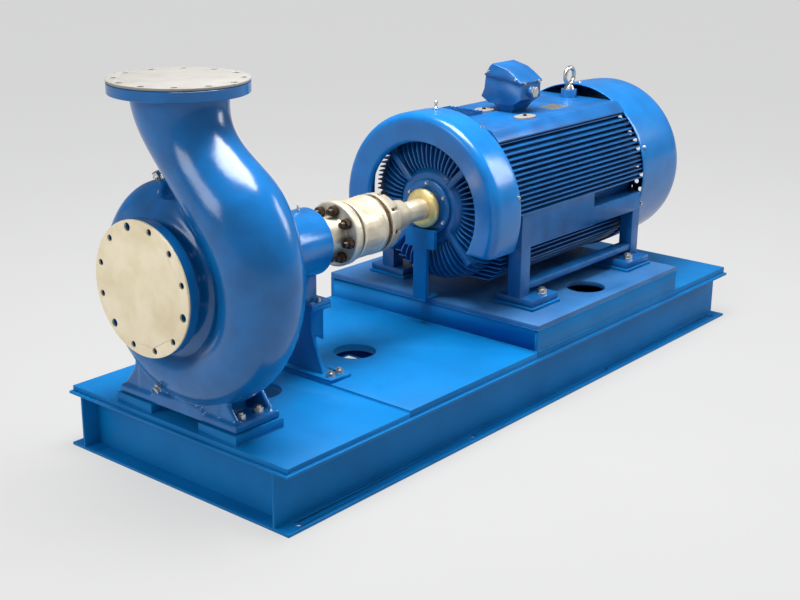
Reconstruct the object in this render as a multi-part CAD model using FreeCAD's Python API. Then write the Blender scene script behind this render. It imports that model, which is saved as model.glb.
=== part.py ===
"""End-suction centrifugal water pump with its electric motor on a fabricated steel base.

Frame: X runs along the shaft from the pump towards the motor, Y across the base, Z up.
The origin is the middle of the whole set's footprint, on the floor. Millimetres.
"""
import FreeCAD, Part
import math
import os

Vec = FreeCAD.Vector

# ---- driving dimensions -------------------------------------------------------------------
SHAFT_Z = 715.0               # height of the common shaft line

# base frame
BASE_X0, BASE_X1 = -1390.0, 1480.0
BASE_HALF_W = 540.0
BEAM_H = 207.0
BEAM_FLANGE_W = 134.0
BEAM_FLANGE_T = 10.0
BEAM_WEB_T = 8.0
DECK_T = 20.0
DECK_SET_BACK = 10.0
DECK_STEP = 8.0               # the middle deck is this much thicker than the pump deck
DECK_HALF_W = BASE_HALF_W - DECK_SET_BACK
PUMP_DECK_TOP = BEAM_H + DECK_T
DECK_TOP = PUMP_DECK_TOP + DECK_STEP
DECK_JOINT_X = -792.0
CROSS_BEAM_XS = (DECK_JOINT_X, 0.0, 500.0, 1010.0)
ANCHOR_PITCH = 907.0
ANCHOR_Y = 510.0
ANCHOR_R = 11.0
GROUT_R = 80.0
PUMP_GROUT_X, MIDDLE_GROUT_X = -985.0, -481.0

# guard post, at the front edge of the plinth
POST_X0, POST_X1, POST_Y = -88.0, -70.0, 10.0
POST_HEAD_Z = (556.0, 634.0)

# motor plinth
PLINTH_X0, PLINTH_X1 = -40.0, 1010.0
PLINTH_TOP = 340.0
PLINTH_WALL = 15.0
PLINTH_PLATE_T = 20.0
PLINTH_MID_X = 300.0
PLINTH_GROUT_X, PLINTH_GROUT_Y = 503.0, 390.0

# pump casing
PUMP_X = -1289.0              # middle plane of the volute and axis of the discharge
FLANGE_R = 222.5              # 300 mm nominal bore, PN10
FLANGE_T = 34.0
BOLT_CIRCLE_R = 200.0
FLANGE_BOLTS = 12
FLANGE_HOLE_R = 11.0
BOLT_PHASE = 15.0             # first hole from the horizontal, degrees
SUCTION_FACE_X = -1470.0
DISCHARGE_FACE_Z = 1345.0
BLANK_T = 8.0
LARGE_HOLES = (2, 6, 10)      # holes of the suction blank plate that are bored wider
LARGE_HOLE_R = 14.0
GASKET_T = 2.0
NECK_R = 160.0
CAST_WALL = 18.0
BASE_CIRCLE_R = 207.0         # inner edge of the volute tube
TUBE_R0, TUBE_R1 = 57.0, 148.0
SPIRAL_STATIONS, NECK_STATIONS = 16, 9
SPIRAL_A0, SPIRAL_A1 = 80.0, -222.0
DRUM_R = 265.0                # casing body between the suction wall and the back cover
DRUM_X0, DRUM_X1 = -1366.0, -1190.0
SUCTION_NECK_R = 176.0
COVER_STUDS, COVER_STUD_R = 12, 246.0
EYE_R = 122.0
IMPELLER_R = 188.0
VANES = 6
FOOT_X0, FOOT_X1 = -1362.0, -1165.0
FOOT_Y0, FOOT_Y1 = 120.0, 285.0
FOOT_PAD_T = 35.0
FOOT_T = 30.0
FOOT_BOLT_XS = (FOOT_X0 + 58, FOOT_X1 - 60)
FOOT_BOLT_Y = 245.0

# bearing bracket
BRACKET_R = 122.0
BRACKET_X1 = -724.0
BARREL_X0 = -960.0            # where the bracket's cone turns into its straight barrel
PEDESTAL_X0, PEDESTAL_X1 = -790.0, -684.0
PEDESTAL_HALF_W = 165.0
PEDESTAL_PLATE_T = 14.0
PEDESTAL_TOP = 492.0
PEDESTAL_BASE_BOLTS = [(x, y) for x in (-760.0, -714.0) for y in (-135.0, 135.0)]
BRACKET_BOLT_X, BRACKET_BOLT_Y = -737.0, 56.0
BRACKET_FOOT_T = 16.0
BEARING_XS = (-985.0, -775.0)
PUMP_SHAFT_R = 32.0
IMPELLER_BORE_R = 26.0
SLEEVE_BORE_R = 28.0
PUMP_HUB_BORE_R = 30.0
PUMP_HUB_LENGTH = 96.0

# coupling, from the pump to the motor
PUMP_HUB_X0 = -684.0
PUMP_HUB_FLANGE_X = (-600.0, -566.0)
SPACER_X = (-545.0, -414.0)
MOTOR_HUB_FLANGE_X = (-392.0, -330.0)
MOTOR_HUB_X1 = -215.0
COUPLING_R = 112.0
COUPLING_BOLTS = 8
COUPLING_BOLT_CIRCLE_R = 92.0

# motor
MOTOR_SHAFT_R = 42.0
FRAME_X0, FRAME_X1 = 60.0, 970.0
FRAME_R = 290.0
FRAME_BORE_R = 262.0
FIN_PITCH = 18.4
FIN_T = 5.0
FIN_TOP_Z, FIN_COUNT = 973.0, 15
FIN_TIP_R = 356.0             # the fins' tips lie on a circle about the shaft
LOW_FIN_HALF_W = 276.0
ROOF_TOP = 1026.0
ROOF_HALF_W = 217.0
HOOD_X0, HOOD_X1 = -116.0, 52.0
HOOD_MOUTH_R, HOOD_R = 259.0, 376.0
HOOD_HALF_ANGLE = 122.0       # the hood covers this much each side of the top, degrees
HOOD_CUT_Z = 577.0            # its lower edges are cut level here
COWL_X1 = 1330.0
COWL_R = 362.0
SHEET_T = 4.0
FAN_X0, FAN_BLADES = 1060.0, 9
LEG_Y0, LEG_Y1 = 292.0, 352.0
LEG_DRIVE_X = (88.0, 150.0)
LEG_REAR_X = (918.0, 970.0)
RAIL_Z = (575.0, 712.0)
RAIL_REAR_Z = 650.0
RAIL_STEP_X = 600.0
PACKER_T = 12.0
FOOT_PLATE_T, FOOT_PLATE_L = 28.0, 176.0
DRIVE_FINS = 60
CORE_X0, CORE_X1 = 250.0, 750.0
MOTOR_BEARING_XS = (25.0, 985.0)
JOURNAL_R = 50.0
BOX_X0, BOX_X1 = 410.0, 550.0
BOX_FLOOR = 1058.0
BOX_NEAR_Y, BOX_FAR_Y = -97.0, 77.0
BOX_NEAR_RIM, BOX_FAR_RIM = 1146.0, 1168.0   # the rim slopes up towards the far side
EYE_X = 916.0
EYE_PAD_TOP = 1061.0

os.makedirs("parts", exist_ok=True)


# ---- helpers ------------------------------------------------------------------------------
def save(name, *solids):
    """Write one node; several solids make a group of separate pieces."""
    pieces = [piece for solid in solids for piece in solid.Solids]
    shape = pieces[0] if len(pieces) == 1 else Part.makeCompound(pieces)
    shape.exportStep(f"parts/{name}.step")


def block(x0, x1, y0, y1, z0, z1):
    return Part.makeBox(x1 - x0, y1 - y0, z1 - z0, Vec(x0, y0, z0))


def polygon(points):
    return Part.Face(Part.makePolygon([Vec(*p) for p in points + points[:1]]))


def rounded(points, turns=2):
    """Cut the corners of an open line again and again, keeping its two ends."""
    for _ in range(turns):
        line = [points[0]]
        for (a0, b0), (a1, b1) in zip(points, points[1:]):
            line.append((a0 * 0.75 + a1 * 0.25, b0 * 0.75 + b1 * 0.25))
            line.append((a0 * 0.25 + a1 * 0.75, b0 * 0.25 + b1 * 0.75))
        points = line + [points[-1]]
    return points


def prism_x(section, x0, x1):
    """Extrude a closed (y, z) outline along the shaft direction."""
    return polygon([(x0, y, z) for y, z in section]).extrude(Vec(x1 - x0, 0, 0))


def turned(profile, centre_z=SHAFT_Z):
    """Solid of revolution about the shaft line; the profile is (x, radius) points."""
    face = polygon([(x, 0, centre_z + r) for x, r in profile])
    return face.revolve(Vec(0, 0, centre_z), Vec(1, 0, 0), 360)


def ring_x(x0, x1, r_in, r_out):
    return turned([(x0, r_in), (x1, r_in), (x1, r_out), (x0, r_out)])


def disc_x(x0, x1, radius, y=0.0, z=SHAFT_Z):
    return Part.makeCylinder(radius, x1 - x0, Vec(x0, y, z), Vec(1, 0, 0))


def disc_z(z0, z1, radius, x, y):
    return Part.makeCylinder(radius, z1 - z0, Vec(x, y, z0))


def polar(radius, degrees):
    return radius * math.cos(math.radians(degrees)), radius * math.sin(math.radians(degrees))


def around_x(radius, count, phase=0.0):
    """(y, z) places on a circle about the shaft line."""
    spots = [polar(radius, phase + 360.0 * i / count) for i in range(count)]
    return [(y, SHAFT_Z + z) for y, z in spots]


def hexagon_x(x0, x1, flat_r, y, z):
    corner = flat_r / math.cos(math.pi / 6)
    points = [polar(corner, 60.0 * i) for i in range(6)]
    return polygon([(x0, y + a, z + b) for a, b in points]).extrude(Vec(x1 - x0, 0, 0))


def hexagon_z(z0, z1, flat_r, x, y):
    corner = flat_r / math.cos(math.pi / 6)
    points = [polar(corner, 60.0 * i) for i in range(6)]
    return polygon([(x + a, y + b, z0) for a, b in points]).extrude(Vec(0, 0, z1 - z0))


def fuse_all(shapes):
    return shapes[0].fuse(shapes[1:]).removeSplitter()


def fuse_in_turn(shapes):
    """Join one by one, which keeps a body with lofted faces sound."""
    body = shapes[0]
    for shape in shapes[1:]:
        body = body.fuse(shape)
    return body


def cut_in_turn(body, tools):
    for tool in tools:
        body = body.cut(tool)
    return body


def largest(shape):
    return max(shape.Solids, key=lambda solid: solid.Volume)


def mirrored_y(shape):
    return shape.mirror(Vec(0, 0, 0), Vec(0, 1, 0))


def both_sides(shape):
    return [shape, mirrored_y(shape)]


# ---- base frame ---------------------------------------------------------------------------
def beam_section(half_w, z0, z1):
    """Points of an I-section across its own middle line, as (offset, z)."""
    web, flange = BEAM_WEB_T / 2, BEAM_FLANGE_T
    right = [(half_w, z0), (half_w, z0 + flange), (web, z0 + flange),
             (web, z1 - flange), (half_w, z1 - flange), (half_w, z1)]
    return right + [(-a, z) for a, z in reversed(right)]


def anchor_xs():
    middle = (BASE_X0 + BASE_X1) / 2
    return [middle + ANCHOR_PITCH * k for k in (-1.5, -0.5, 0.5, 1.5)]


def long_beam(side):
    centre = side * (BASE_HALF_W - BEAM_FLANGE_W / 2)
    points = beam_section(BEAM_FLANGE_W / 2, 0, BEAM_H)
    face = polygon([(BASE_X0, centre + a, z) for a, z in points])
    beam = face.extrude(Vec(BASE_X1 - BASE_X0, 0, 0))
    holes = [disc_z(-1, BEAM_FLANGE_T + 1, ANCHOR_R, x, side * ANCHOR_Y) for x in anchor_xs()]
    return beam.cut(holes)


def cross_beam(centre_x):
    """I-beam across the base, its flanges coped to clear those of the long beams."""
    web_end = BASE_HALF_W - BEAM_FLANGE_W / 2 - BEAM_WEB_T / 2
    flange_end = BASE_HALF_W - BEAM_FLANGE_W
    points = beam_section(BEAM_FLANGE_W / 2, 0, BEAM_H)
    face = polygon([(centre_x + a, -flange_end, z) for a, z in points])
    beam = face.extrude(Vec(0, 2 * flange_end, 0))
    web = block(centre_x - BEAM_WEB_T / 2, centre_x + BEAM_WEB_T / 2, -web_end, web_end,
                BEAM_FLANGE_T, BEAM_H - BEAM_FLANGE_T)
    return fuse_all([beam, web])


def deck(x0, x1, top, holes=()):
    plate = block(x0, x1, -DECK_HALF_W, DECK_HALF_W, BEAM_H, top)
    return cut_in_turn(plate, [disc_z(BEAM_H - 1, top + 1, GROUT_R, x, 0) for x in holes])


def plinth_walls():
    """The plinth's five upright plates: two long sides and three cross walls."""
    top, side = PLINTH_TOP - PLINTH_PLATE_T, DECK_HALF_W - PLINTH_WALL
    walls = both_sides(block(PLINTH_X0, PLINTH_X1, side, DECK_HALF_W, DECK_TOP, top))
    for x in (PLINTH_X0, PLINTH_MID_X, PLINTH_X1 - PLINTH_WALL):
        walls.append(block(x, x + PLINTH_WALL, -side, side, DECK_TOP, top))
    return walls


def plinth_top_plate():
    plate = block(PLINTH_X0, PLINTH_X1, -DECK_HALF_W, DECK_HALF_W,
                  PLINTH_TOP - PLINTH_PLATE_T, PLINTH_TOP)
    holes = [disc_z(0, PLINTH_TOP + 1, GROUT_R, PLINTH_GROUT_X, side * PLINTH_GROUT_Y)
             for side in (-1, 1)]
    return plate.cut(holes)


def guard_post():
    """T-shaped post for the coupling guard, on a tab welded to the plinth's front edge."""
    stem = block(POST_X0, POST_X1, POST_Y - 32, POST_Y + 32, PLINTH_TOP, POST_HEAD_Z[0] + 4)
    head = block(POST_X0, POST_X1, POST_Y - 72, POST_Y + 74, *POST_HEAD_Z)
    tab = block(POST_X1 - 1, PLINTH_X0 + 36, POST_Y - 32, POST_Y + 32, PLINTH_TOP, PLINTH_TOP + 12)
    return fuse_all([stem, head, tab])


def bearing_pedestal():
    """Welded stand under the bearing bracket: base plate, flared web, side rib, top plate."""
    x0, x1, plate_t = PEDESTAL_X0, PEDESTAL_X1, PEDESTAL_PLATE_T
    base = block(x0, x1, -PEDESTAL_HALF_W, PEDESTAL_HALF_W, DECK_TOP, DECK_TOP + plate_t)
    base = base.cut([disc_z(DECK_TOP - 1, DECK_TOP + 20, 9.5, x, y) for x, y in PEDESTAL_BASE_BOLTS])
    top = block(x0 + 4, x1 - 4, -74, 74, PEDESTAL_TOP - plate_t, PEDESTAL_TOP)
    top = top.cut([disc_z(PEDESTAL_TOP - 20, PEDESTAL_TOP + 1, 7, BRACKET_BOLT_X, side * BRACKET_BOLT_Y)
                   for side in (-1, 1)])
    z0, z1, knee = DECK_TOP + plate_t - 1, PEDESTAL_TOP - plate_t + 1, 390.0
    half = [(100, z0), (44, knee), (44, z1)]
    outline = [(x0 + 26, y, z) for y, z in half] + [(x0 + 26, -y, z) for y, z in reversed(half)]
    web = polygon(outline).extrude(Vec(14, 0, 0))
    rib = block(x0 + 26, x1 - 14, -7, 7, z0, z1)
    cheeks = []
    for side in (-1, 1):
        points = [(x0 + 26, side * 44, knee), (x0 + 26, side * 44, z1), (x1 - 14, side * 44, z1),
                  (x1 - 14, side * 44, knee - 40)]
        cheeks.append(polygon(points).extrude(Vec(0, -side * 10, 0)))
    return fuse_all([base, top, web, rib] + cheeks)


# ---- pump casing --------------------------------------------------------------------------
def circle_at(centre, normal, radius):
    return Part.Wire(Part.Circle(centre, normal, radius).toShape())


def spiral_section(share, shrink):
    """Circle of the volute tube at this share of its sweep, smaller by the wall."""
    angle = math.radians(SPIRAL_A0 + (SPIRAL_A1 - SPIRAL_A0) * share)
    tube = TUBE_R0 + (TUBE_R1 - TUBE_R0) * share
    reach = BASE_CIRCLE_R + tube
    centre = Vec(PUMP_X, reach * math.cos(angle), SHAFT_Z + reach * math.sin(angle))
    return centre, Vec(0, math.sin(angle), -math.cos(angle)), tube - shrink


def neck_section(share, shrink):
    """Circle of the swan-neck from the volute's end to the discharge flange."""
    start, heading, tube = spiral_section(1.0, 0.0)
    end = Vec(PUMP_X, 0, DISCHARGE_FACE_Z - 12)
    lead_out, lead_in = start + heading * 150.0, end - Vec(0, 0, 130.0)
    a, b = 1 - share, share
    centre = start * a ** 3 + lead_out * (3 * a * a * b) + lead_in * (3 * a * b * b) + end * b ** 3
    slope = ((lead_out - start) * (3 * a * a) + (lead_in - lead_out) * (6 * a * b)
             + (end - lead_in) * (3 * b * b))
    radius = tube + (NECK_R - tube) * share
    return centre, slope.normalize(), radius - shrink


def tube_solid(section, count, shrink, start=0.0, end=1.0):
    shares = [start + (end - start) * i / (count - 1) for i in range(count)]
    wires = [circle_at(*section(s, shrink)) for s in shares]
    return Part.makeLoft(wires, True, False)


def flange_holes_x(x0, x1, radii):
    spots = around_x(BOLT_CIRCLE_R, FLANGE_BOLTS, BOLT_PHASE)
    return [disc_x(x0, x1, r, y, z) for (y, z), r in zip(spots, radii)]


def flange_holes_z(z0, z1, radii):
    holes = []
    for i, radius in enumerate(radii):
        dx, dy = polar(BOLT_CIRCLE_R, BOLT_PHASE + 360.0 * i / FLANGE_BOLTS)
        holes.append(disc_z(z0, z1, radius, PUMP_X + dx, dy))
    return holes


def casing_foot(side):
    """Cast foot: bolting plate, two ribs and a shin up into the volute."""
    y0, y1 = FOOT_Y0, FOOT_Y1
    z0 = PUMP_DECK_TOP + FOOT_PAD_T
    plate = block(FOOT_X0, FOOT_X1, y0, y1, z0, z0 + FOOT_T)
    ribs = []
    for x in (FOOT_X0 + 14, FOOT_X1 - 32):
        points = [(x, y0 - 60, z0), (x, y1 - 8, z0 + FOOT_T - 1), (x, y1 - 60, z0 + 95),
                  (x, y1 - 75, z0 + 160), (x, y0 - 60, z0 + 110)]
        ribs.append(polygon(points).extrude(Vec(18, 0, 0)))
    shin = block(PUMP_X - 62, PUMP_X + 62, y0 - 30, y1 - 90, z0, z0 + 110)
    foot = fuse_all([plate, shin] + ribs)
    for x in FOOT_BOLT_XS:
        foot = foot.cut(disc_z(z0 - 1, z0 + FOOT_T + 60, 13.5, x, FOOT_BOLT_Y))
    return foot if side > 0 else mirrored_y(foot)



def volute_casing():
    spiral = tube_solid(spiral_section, SPIRAL_STATIONS, 0.0)
    neck = tube_solid(neck_section, NECK_STATIONS, 0.0)
    drum = turned([(SUCTION_FACE_X, 0), (SUCTION_FACE_X, FLANGE_R),
                   (SUCTION_FACE_X + FLANGE_T, FLANGE_R), (SUCTION_FACE_X + FLANGE_T, 186),
                   (SUCTION_FACE_X + FLANGE_T + 12, SUCTION_NECK_R), (-1386, SUCTION_NECK_R),
                   (-1380, 190), (-1380, 240), (-1374, 246), (DRUM_X0, 246),
                   (DRUM_X0, DRUM_R - 6), (DRUM_X0 + 6, DRUM_R), (DRUM_X1, DRUM_R),
                   (DRUM_X1, 0)])
    top_flange = disc_z(DISCHARGE_FACE_Z - FLANGE_T, DISCHARGE_FACE_Z, FLANGE_R, PUMP_X, 0)
    feet = [casing_foot(1), casing_foot(-1)]
    front_web = block(FOOT_X0, FOOT_X0 + 16, -FOOT_Y0 - 5, FOOT_Y0 + 5,
                      PUMP_DECK_TOP + FOOT_PAD_T, PUMP_DECK_TOP + FOOT_PAD_T + 46)
    outside = fuse_in_turn([drum, spiral, neck, top_flange] + feet + [front_web] + plug_bosses())

    room = turned([(SUCTION_FACE_X - 1, 0), (SUCTION_FACE_X - 1, 150), (-1400, 138), (-1352, 138),
                   (-1352, 142), (-1336, 142), (-1336, 200), (-1346, 222), (-1220, 222),
                   (DRUM_X1 - 12, 222), (DRUM_X1 - 12, 228), (DRUM_X1 + 1, 228),
                   (DRUM_X1 + 1, 0)])
    slot = turned([(PUMP_X - 36, 200), (PUMP_X + 36, 200), (PUMP_X + 30, 240), (PUMP_X - 30, 240)])
    cover_seat = disc_x(DRUM_X1, DRUM_X1 + 66, DRUM_R - 1)
    mouth = disc_z(DISCHARGE_FACE_Z - 40, DISCHARGE_FACE_Z + 1, NECK_R - CAST_WALL, PUMP_X, 0)
    body = cut_in_turn(outside, [tube_solid(spiral_section, SPIRAL_STATIONS, CAST_WALL),
                                 tube_solid(neck_section, NECK_STATIONS, CAST_WALL),
                                 room, mouth, slot, cover_seat])
    every_hole = [FLANGE_HOLE_R] * FLANGE_BOLTS
    body = body.cut(flange_holes_x(SUCTION_FACE_X - 1, SUCTION_FACE_X + FLANGE_T + 1, every_hole))
    body = body.cut(flange_holes_z(DISCHARGE_FACE_Z - FLANGE_T - 1, DISCHARGE_FACE_Z + 1, every_hole))
    body = body.cut([disc_x(DRUM_X1 - 24, DRUM_X1 + 1, 8.2, y, z)
                     for y, z in around_x(COVER_STUD_R, COVER_STUDS, 15)])
    return largest(cut_in_turn(body, plug_holes()))


def plug_places():
    """(start, direction) of the drain plug's and the vent plug's axis on the volute tube."""
    places = []
    for share, forward, outward in ((0.54, 0.88, 0.47), (0.02, 0.35, 0.94)):
        centre, heading, tube = spiral_section(share, 0.0)
        radial = (centre - Vec(PUMP_X, 0, SHAFT_Z)).normalize()
        axis = (radial * outward - Vec(forward, 0, 0)).normalize()
        places.append((centre + axis * tube, axis))
    return places


def plug_bosses():
    return [Part.makeCylinder(20, 26, point - axis * 14, axis) for point, axis in plug_places()]


def plug_holes():
    return [Part.makeCylinder(11, 30, point - axis * 10, axis) for point, axis in plug_places()]


def casing_plugs():
    """Hexagon-headed screw plugs in the drain and vent bosses."""
    plugs = []
    for point, axis in plug_places():
        shank = Part.makeCylinder(10.9, 24, point - axis * 9, axis)
        collar = Part.makeCylinder(16, 4, point + axis * 12, axis)
        head = hexagon_z(16, 28, 12, 0, 0)
        turn = FreeCAD.Rotation(Vec(0, 0, 1), axis)
        head.Placement = FreeCAD.Placement(point, turn)
        plugs.append(fuse_all([shank, collar, head]))
    return plugs


def casing_cover():
    """Back cover with the seal chamber; its spigot fits the casing bore."""
    x = DRUM_X1
    cover = turned([(x - 22, 104), (x - 22, 200), (x - 12, 218), (x - 12, 227.9), (x, 227.9),
                    (x, 262), (x + 24, 262), (x + 24, 150), (x + 60, 120), (x + 110, 96),
                    (x + 110, 66), (x + 10, 66), (x + 10, 60), (x - 10, 60), (x - 10, 104)])
    holes = [disc_x(x - 1, x + 25, 9, y, z) for y, z in around_x(COVER_STUD_R, COVER_STUDS, 15)]
    return cover.cut(holes)


def cover_studs():
    pieces = []
    for y, z in around_x(COVER_STUD_R, COVER_STUDS, 15):
        stud = disc_x(DRUM_X1 - 23, DRUM_X1 + 58, 8, y, z)
        nut = hexagon_x(DRUM_X1 + 36, DRUM_X1 + 50, 12, y, z)
        pieces.append(fuse_all([stud, nut]))
    return pieces


def bearing_bracket():
    """Bracket from the back cover to the coupling end: ring, cone, barrel and support shin."""
    x = DRUM_X1 + 24
    shell = turned([(x, 152), (x, 262), (x + 12, 262), (x + 12, 232), (x + 60, 205),
                    (BARREL_X0, 150), (BARREL_X0 + 30, BRACKET_R), (BRACKET_X1, BRACKET_R),
                    (BRACKET_X1, 70), (BRACKET_X1 - 76, 70), (BRACKET_X1 - 76, 60),
                    (BARREL_X0 - 52, 60), (BARREL_X0 - 52, 100), (x + 60, 180)])
    windows = [block(x + 70, BARREL_X0 - 60, -300, 300, SHAFT_Z - 58, SHAFT_Z + 58)]
    studs = [disc_x(x - 1, x + 13, 9, y, z) for y, z in around_x(COVER_STUD_R, COVER_STUDS, 15)]
    shell = shell.cut(windows + studs)
    foot_top = PEDESTAL_TOP + BRACKET_FOOT_T
    shin = block(BRACKET_X1 - 60, BRACKET_X1 - 4, -40, 40, PEDESTAL_TOP, SHAFT_Z - 90)
    flange = block(BRACKET_X1 - 62, PEDESTAL_X1 - 6, -72, 72, PEDESTAL_TOP, foot_top)
    foot = fuse_all([shin, flange]).cut(disc_x(x, PEDESTAL_X1, 100))
    foot = foot.cut([disc_z(PEDESTAL_TOP - 1, foot_top + 1, 7, BRACKET_BOLT_X, side * BRACKET_BOLT_Y)
                     for side in (-1, 1)])
    return largest(shell.fuse(foot))


def ball_bearing(x, bore_r, outer_r, width):
    """Deep-groove bearing as (outer ring, inner ring with its balls)."""
    pitch, ball = (bore_r + outer_r) / 2, (outer_r - bore_r) * 0.29
    gap = 0.05
    groove = Part.makeTorus(pitch, ball + gap, Vec(x, 0, SHAFT_Z), Vec(1, 0, 0))
    outer = ring_x(x - width / 2, x + width / 2, pitch + ball * 0.55, outer_r).cut(groove)
    inner = ring_x(x - width / 2, x + width / 2, bore_r, pitch - ball * 0.55).cut(groove)
    balls = [Part.makeSphere(ball, Vec(x, y, z)) for y, z in around_x(pitch, 9)]
    return outer, [inner] + balls


# ---- pump rotor ---------------------------------------------------------------------------
def impeller():
    """Closed impeller: eye ring, front shroud, back shroud, hub and curved vanes."""
    x = PUMP_X
    front = turned([(x - 58, EYE_R - 10), (x - 58, EYE_R), (x - 40, EYE_R), (x - 34, 136),
                    (x - 30, IMPELLER_R), (x - 22, IMPELLER_R), (x - 24, 130), (x - 38, 112)])
    back = turned([(x - 30, IMPELLER_BORE_R), (x - 30, 44), (x + 10, 60), (x + 22, 110),
                   (x + 24, IMPELLER_R), (x + 34, IMPELLER_R), (x + 36, 120), (x + 64, 90),
                   (x + 86, 90), (x + 86, 82), (x + 44, 76), (x + 44, IMPELLER_BORE_R)])
    vanes = []
    for i in range(VANES):
        arc = []
        for k in range(7):
            share = k / 6
            arc.append((66 + (IMPELLER_R - 2 - 66) * share, 62 * share))
        outer_edge = [polar(r, 360 * i / VANES - a) for r, a in arc]
        inner_edge = [polar(r, 360 * i / VANES - a - 500 / r) for r, a in arc]
        points = outer_edge + inner_edge[::-1]
        vanes.append(polygon([(x - 27, y, SHAFT_Z + z) for y, z in points]).extrude(Vec(54, 0, 0)))
    passage = turned([(x - 60, 0), (x - 60, 112), (x - 38, 112), (x - 26, 128), (x - 26, 64),
                      (x - 26, 0)])
    blades = [vane.cut(passage) for vane in vanes]
    return largest(front.fuse([back] + blades)).cut(impeller_key())


def shaft_key(x0, x1, shaft_r, width, height):
    """Parallel key at the top of a shaft, a little more than half sunk in it."""
    z0 = SHAFT_Z + shaft_r - height * 0.55
    return block(x0, x1, -width / 2, width / 2, z0, z0 + height)


def impeller_key():
    return shaft_key(PUMP_X - 20, PUMP_X + 36, IMPELLER_BORE_R, 16, 10)


def pump_hub_key():
    return shaft_key(PUMP_HUB_X0 + 6, PUMP_HUB_X0 + 88, PUMP_HUB_BORE_R, 18, 11)


def motor_hub_key():
    return shaft_key(MOTOR_HUB_FLANGE_X[0] + 12, MOTOR_HUB_X1 - 10, MOTOR_SHAFT_R, 22, 14)


def pump_shaft():
    x, hub_end = PUMP_X, PUMP_HUB_X0 + PUMP_HUB_LENGTH
    shaft = turned([(x - 52, 0), (x - 52, 18), (x - 30, 18), (x - 30, IMPELLER_BORE_R),
                    (x + 74, IMPELLER_BORE_R), (x + 74, SLEEVE_BORE_R), (-1030, SLEEVE_BORE_R),
                    (-1030, PUMP_SHAFT_R), (-740, PUMP_SHAFT_R), (-740, PUMP_HUB_BORE_R),
                    (hub_end, PUMP_HUB_BORE_R), (hub_end, 0)])
    return shaft.cut([impeller_key(), pump_hub_key()])


def impeller_nut():
    x = PUMP_X
    body = hexagon_x(x - 54, x - 30, 26, 0, SHAFT_Z)
    dome = turned([(x - 70, 0), (x - 66, 14), (x - 54, 24), (x - 54, 0)])
    return fuse_all([body, dome]).cut(disc_x(x - 52, x - 29, 18))


# ---- coupling -----------------------------------------------------------------------------
def coupling_spots():
    return around_x(COUPLING_BOLT_CIRCLE_R, COUPLING_BOLTS, 10)


def bolt_ring(x0, x1, radius):
    return [disc_x(x0, x1, radius, y, z) for y, z in coupling_spots()]


def pump_coupling_hub():
    x0, x1 = PUMP_HUB_FLANGE_X
    back = PUMP_HUB_X0 + PUMP_HUB_LENGTH
    hub = turned([(PUMP_HUB_X0, PUMP_HUB_BORE_R), (PUMP_HUB_X0, 62), (PUMP_HUB_X0 + 6, 68),
                  (x0 - 4, 68), (x0, 71), (x0, COUPLING_R + 4), (x0 + 4, COUPLING_R + 8),
                  (x1, COUPLING_R + 8), (x1, 52), (back, 52), (back, PUMP_HUB_BORE_R)])
    return hub.cut(bolt_ring(x0 - 1, x1 + 1, 11) + [pump_hub_key()])


def disc_pack(x0, x1):
    """Stack of spring-steel rings with its bushed bolt eyes."""
    middle = (x0 + x1) / 2
    stack = ring_x(middle - 5, middle + 5, 66, COUPLING_R - 3)
    eyes = [disc_x(x0, x1, 16, y, z) for y, z in coupling_spots()]
    return fuse_all([stack] + eyes).cut(bolt_ring(x0 - 1, x1 + 1, 10.9))


def coupling_spacer():
    x0, x1 = SPACER_X
    drum = turned([(x0, 66), (x0, COUPLING_R), (x0 + 18, COUPLING_R), (x0 + 20, COUPLING_R - 2),
                   (x1 - 20, COUPLING_R - 2), (x1 - 18, COUPLING_R), (x1, COUPLING_R), (x1, 66)])
    pockets = bolt_ring(x0 + 30, x1 - 30, 17)
    return drum.cut(pockets + bolt_ring(x0 - 1, x1 + 1, 10.9))


def coupling_bolts():
    """Bolts of both disc packs, each with its head in the spacer and its nut outside."""
    pieces = []
    near, far = PUMP_HUB_FLANGE_X[0], MOTOR_HUB_FLANGE_X[0] + 16
    for y, z in coupling_spots():
        left = [disc_x(near - 40, SPACER_X[0] + 30, 10.8, y, z),
                disc_x(near - 4, near - 0.3, 19, y, z), hexagon_x(near - 22, near - 4, 17, y, z)]
        right = [disc_x(SPACER_X[1] - 30, far + 20, 10.8, y, z),
                 hexagon_x(far + 0.3, far + 14, 15, y, z)]
        head_left = hexagon_x(SPACER_X[0] + 30, SPACER_X[0] + 42, 14, y, z)
        head_right = hexagon_x(SPACER_X[1] - 42, SPACER_X[1] - 30, 14, y, z)
        pieces += [fuse_all(left + [head_left]), fuse_all(right + [head_right])]
    return pieces


def motor_coupling_hub():
    x0, x1 = MOTOR_HUB_FLANGE_X
    hub = turned([(x0, MOTOR_SHAFT_R), (x0, COUPLING_R), (x0 + 14, COUPLING_R),
                  (x0 + 16, COUPLING_R - 3), (x0 + 46, COUPLING_R - 3), (x1, COUPLING_R - 12),
                  (x1 + 34, 70), (x1 + 60, 62), (MOTOR_HUB_X1 - 10, 58), (MOTOR_HUB_X1, 52),
                  (MOTOR_HUB_X1, MOTOR_SHAFT_R)])
    pockets = bolt_ring(x0 + 16, x1 + 60, 18)
    return hub.cut(bolt_ring(x0 - 1, x0 + 17, 11) + pockets + [motor_hub_key()])


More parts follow.
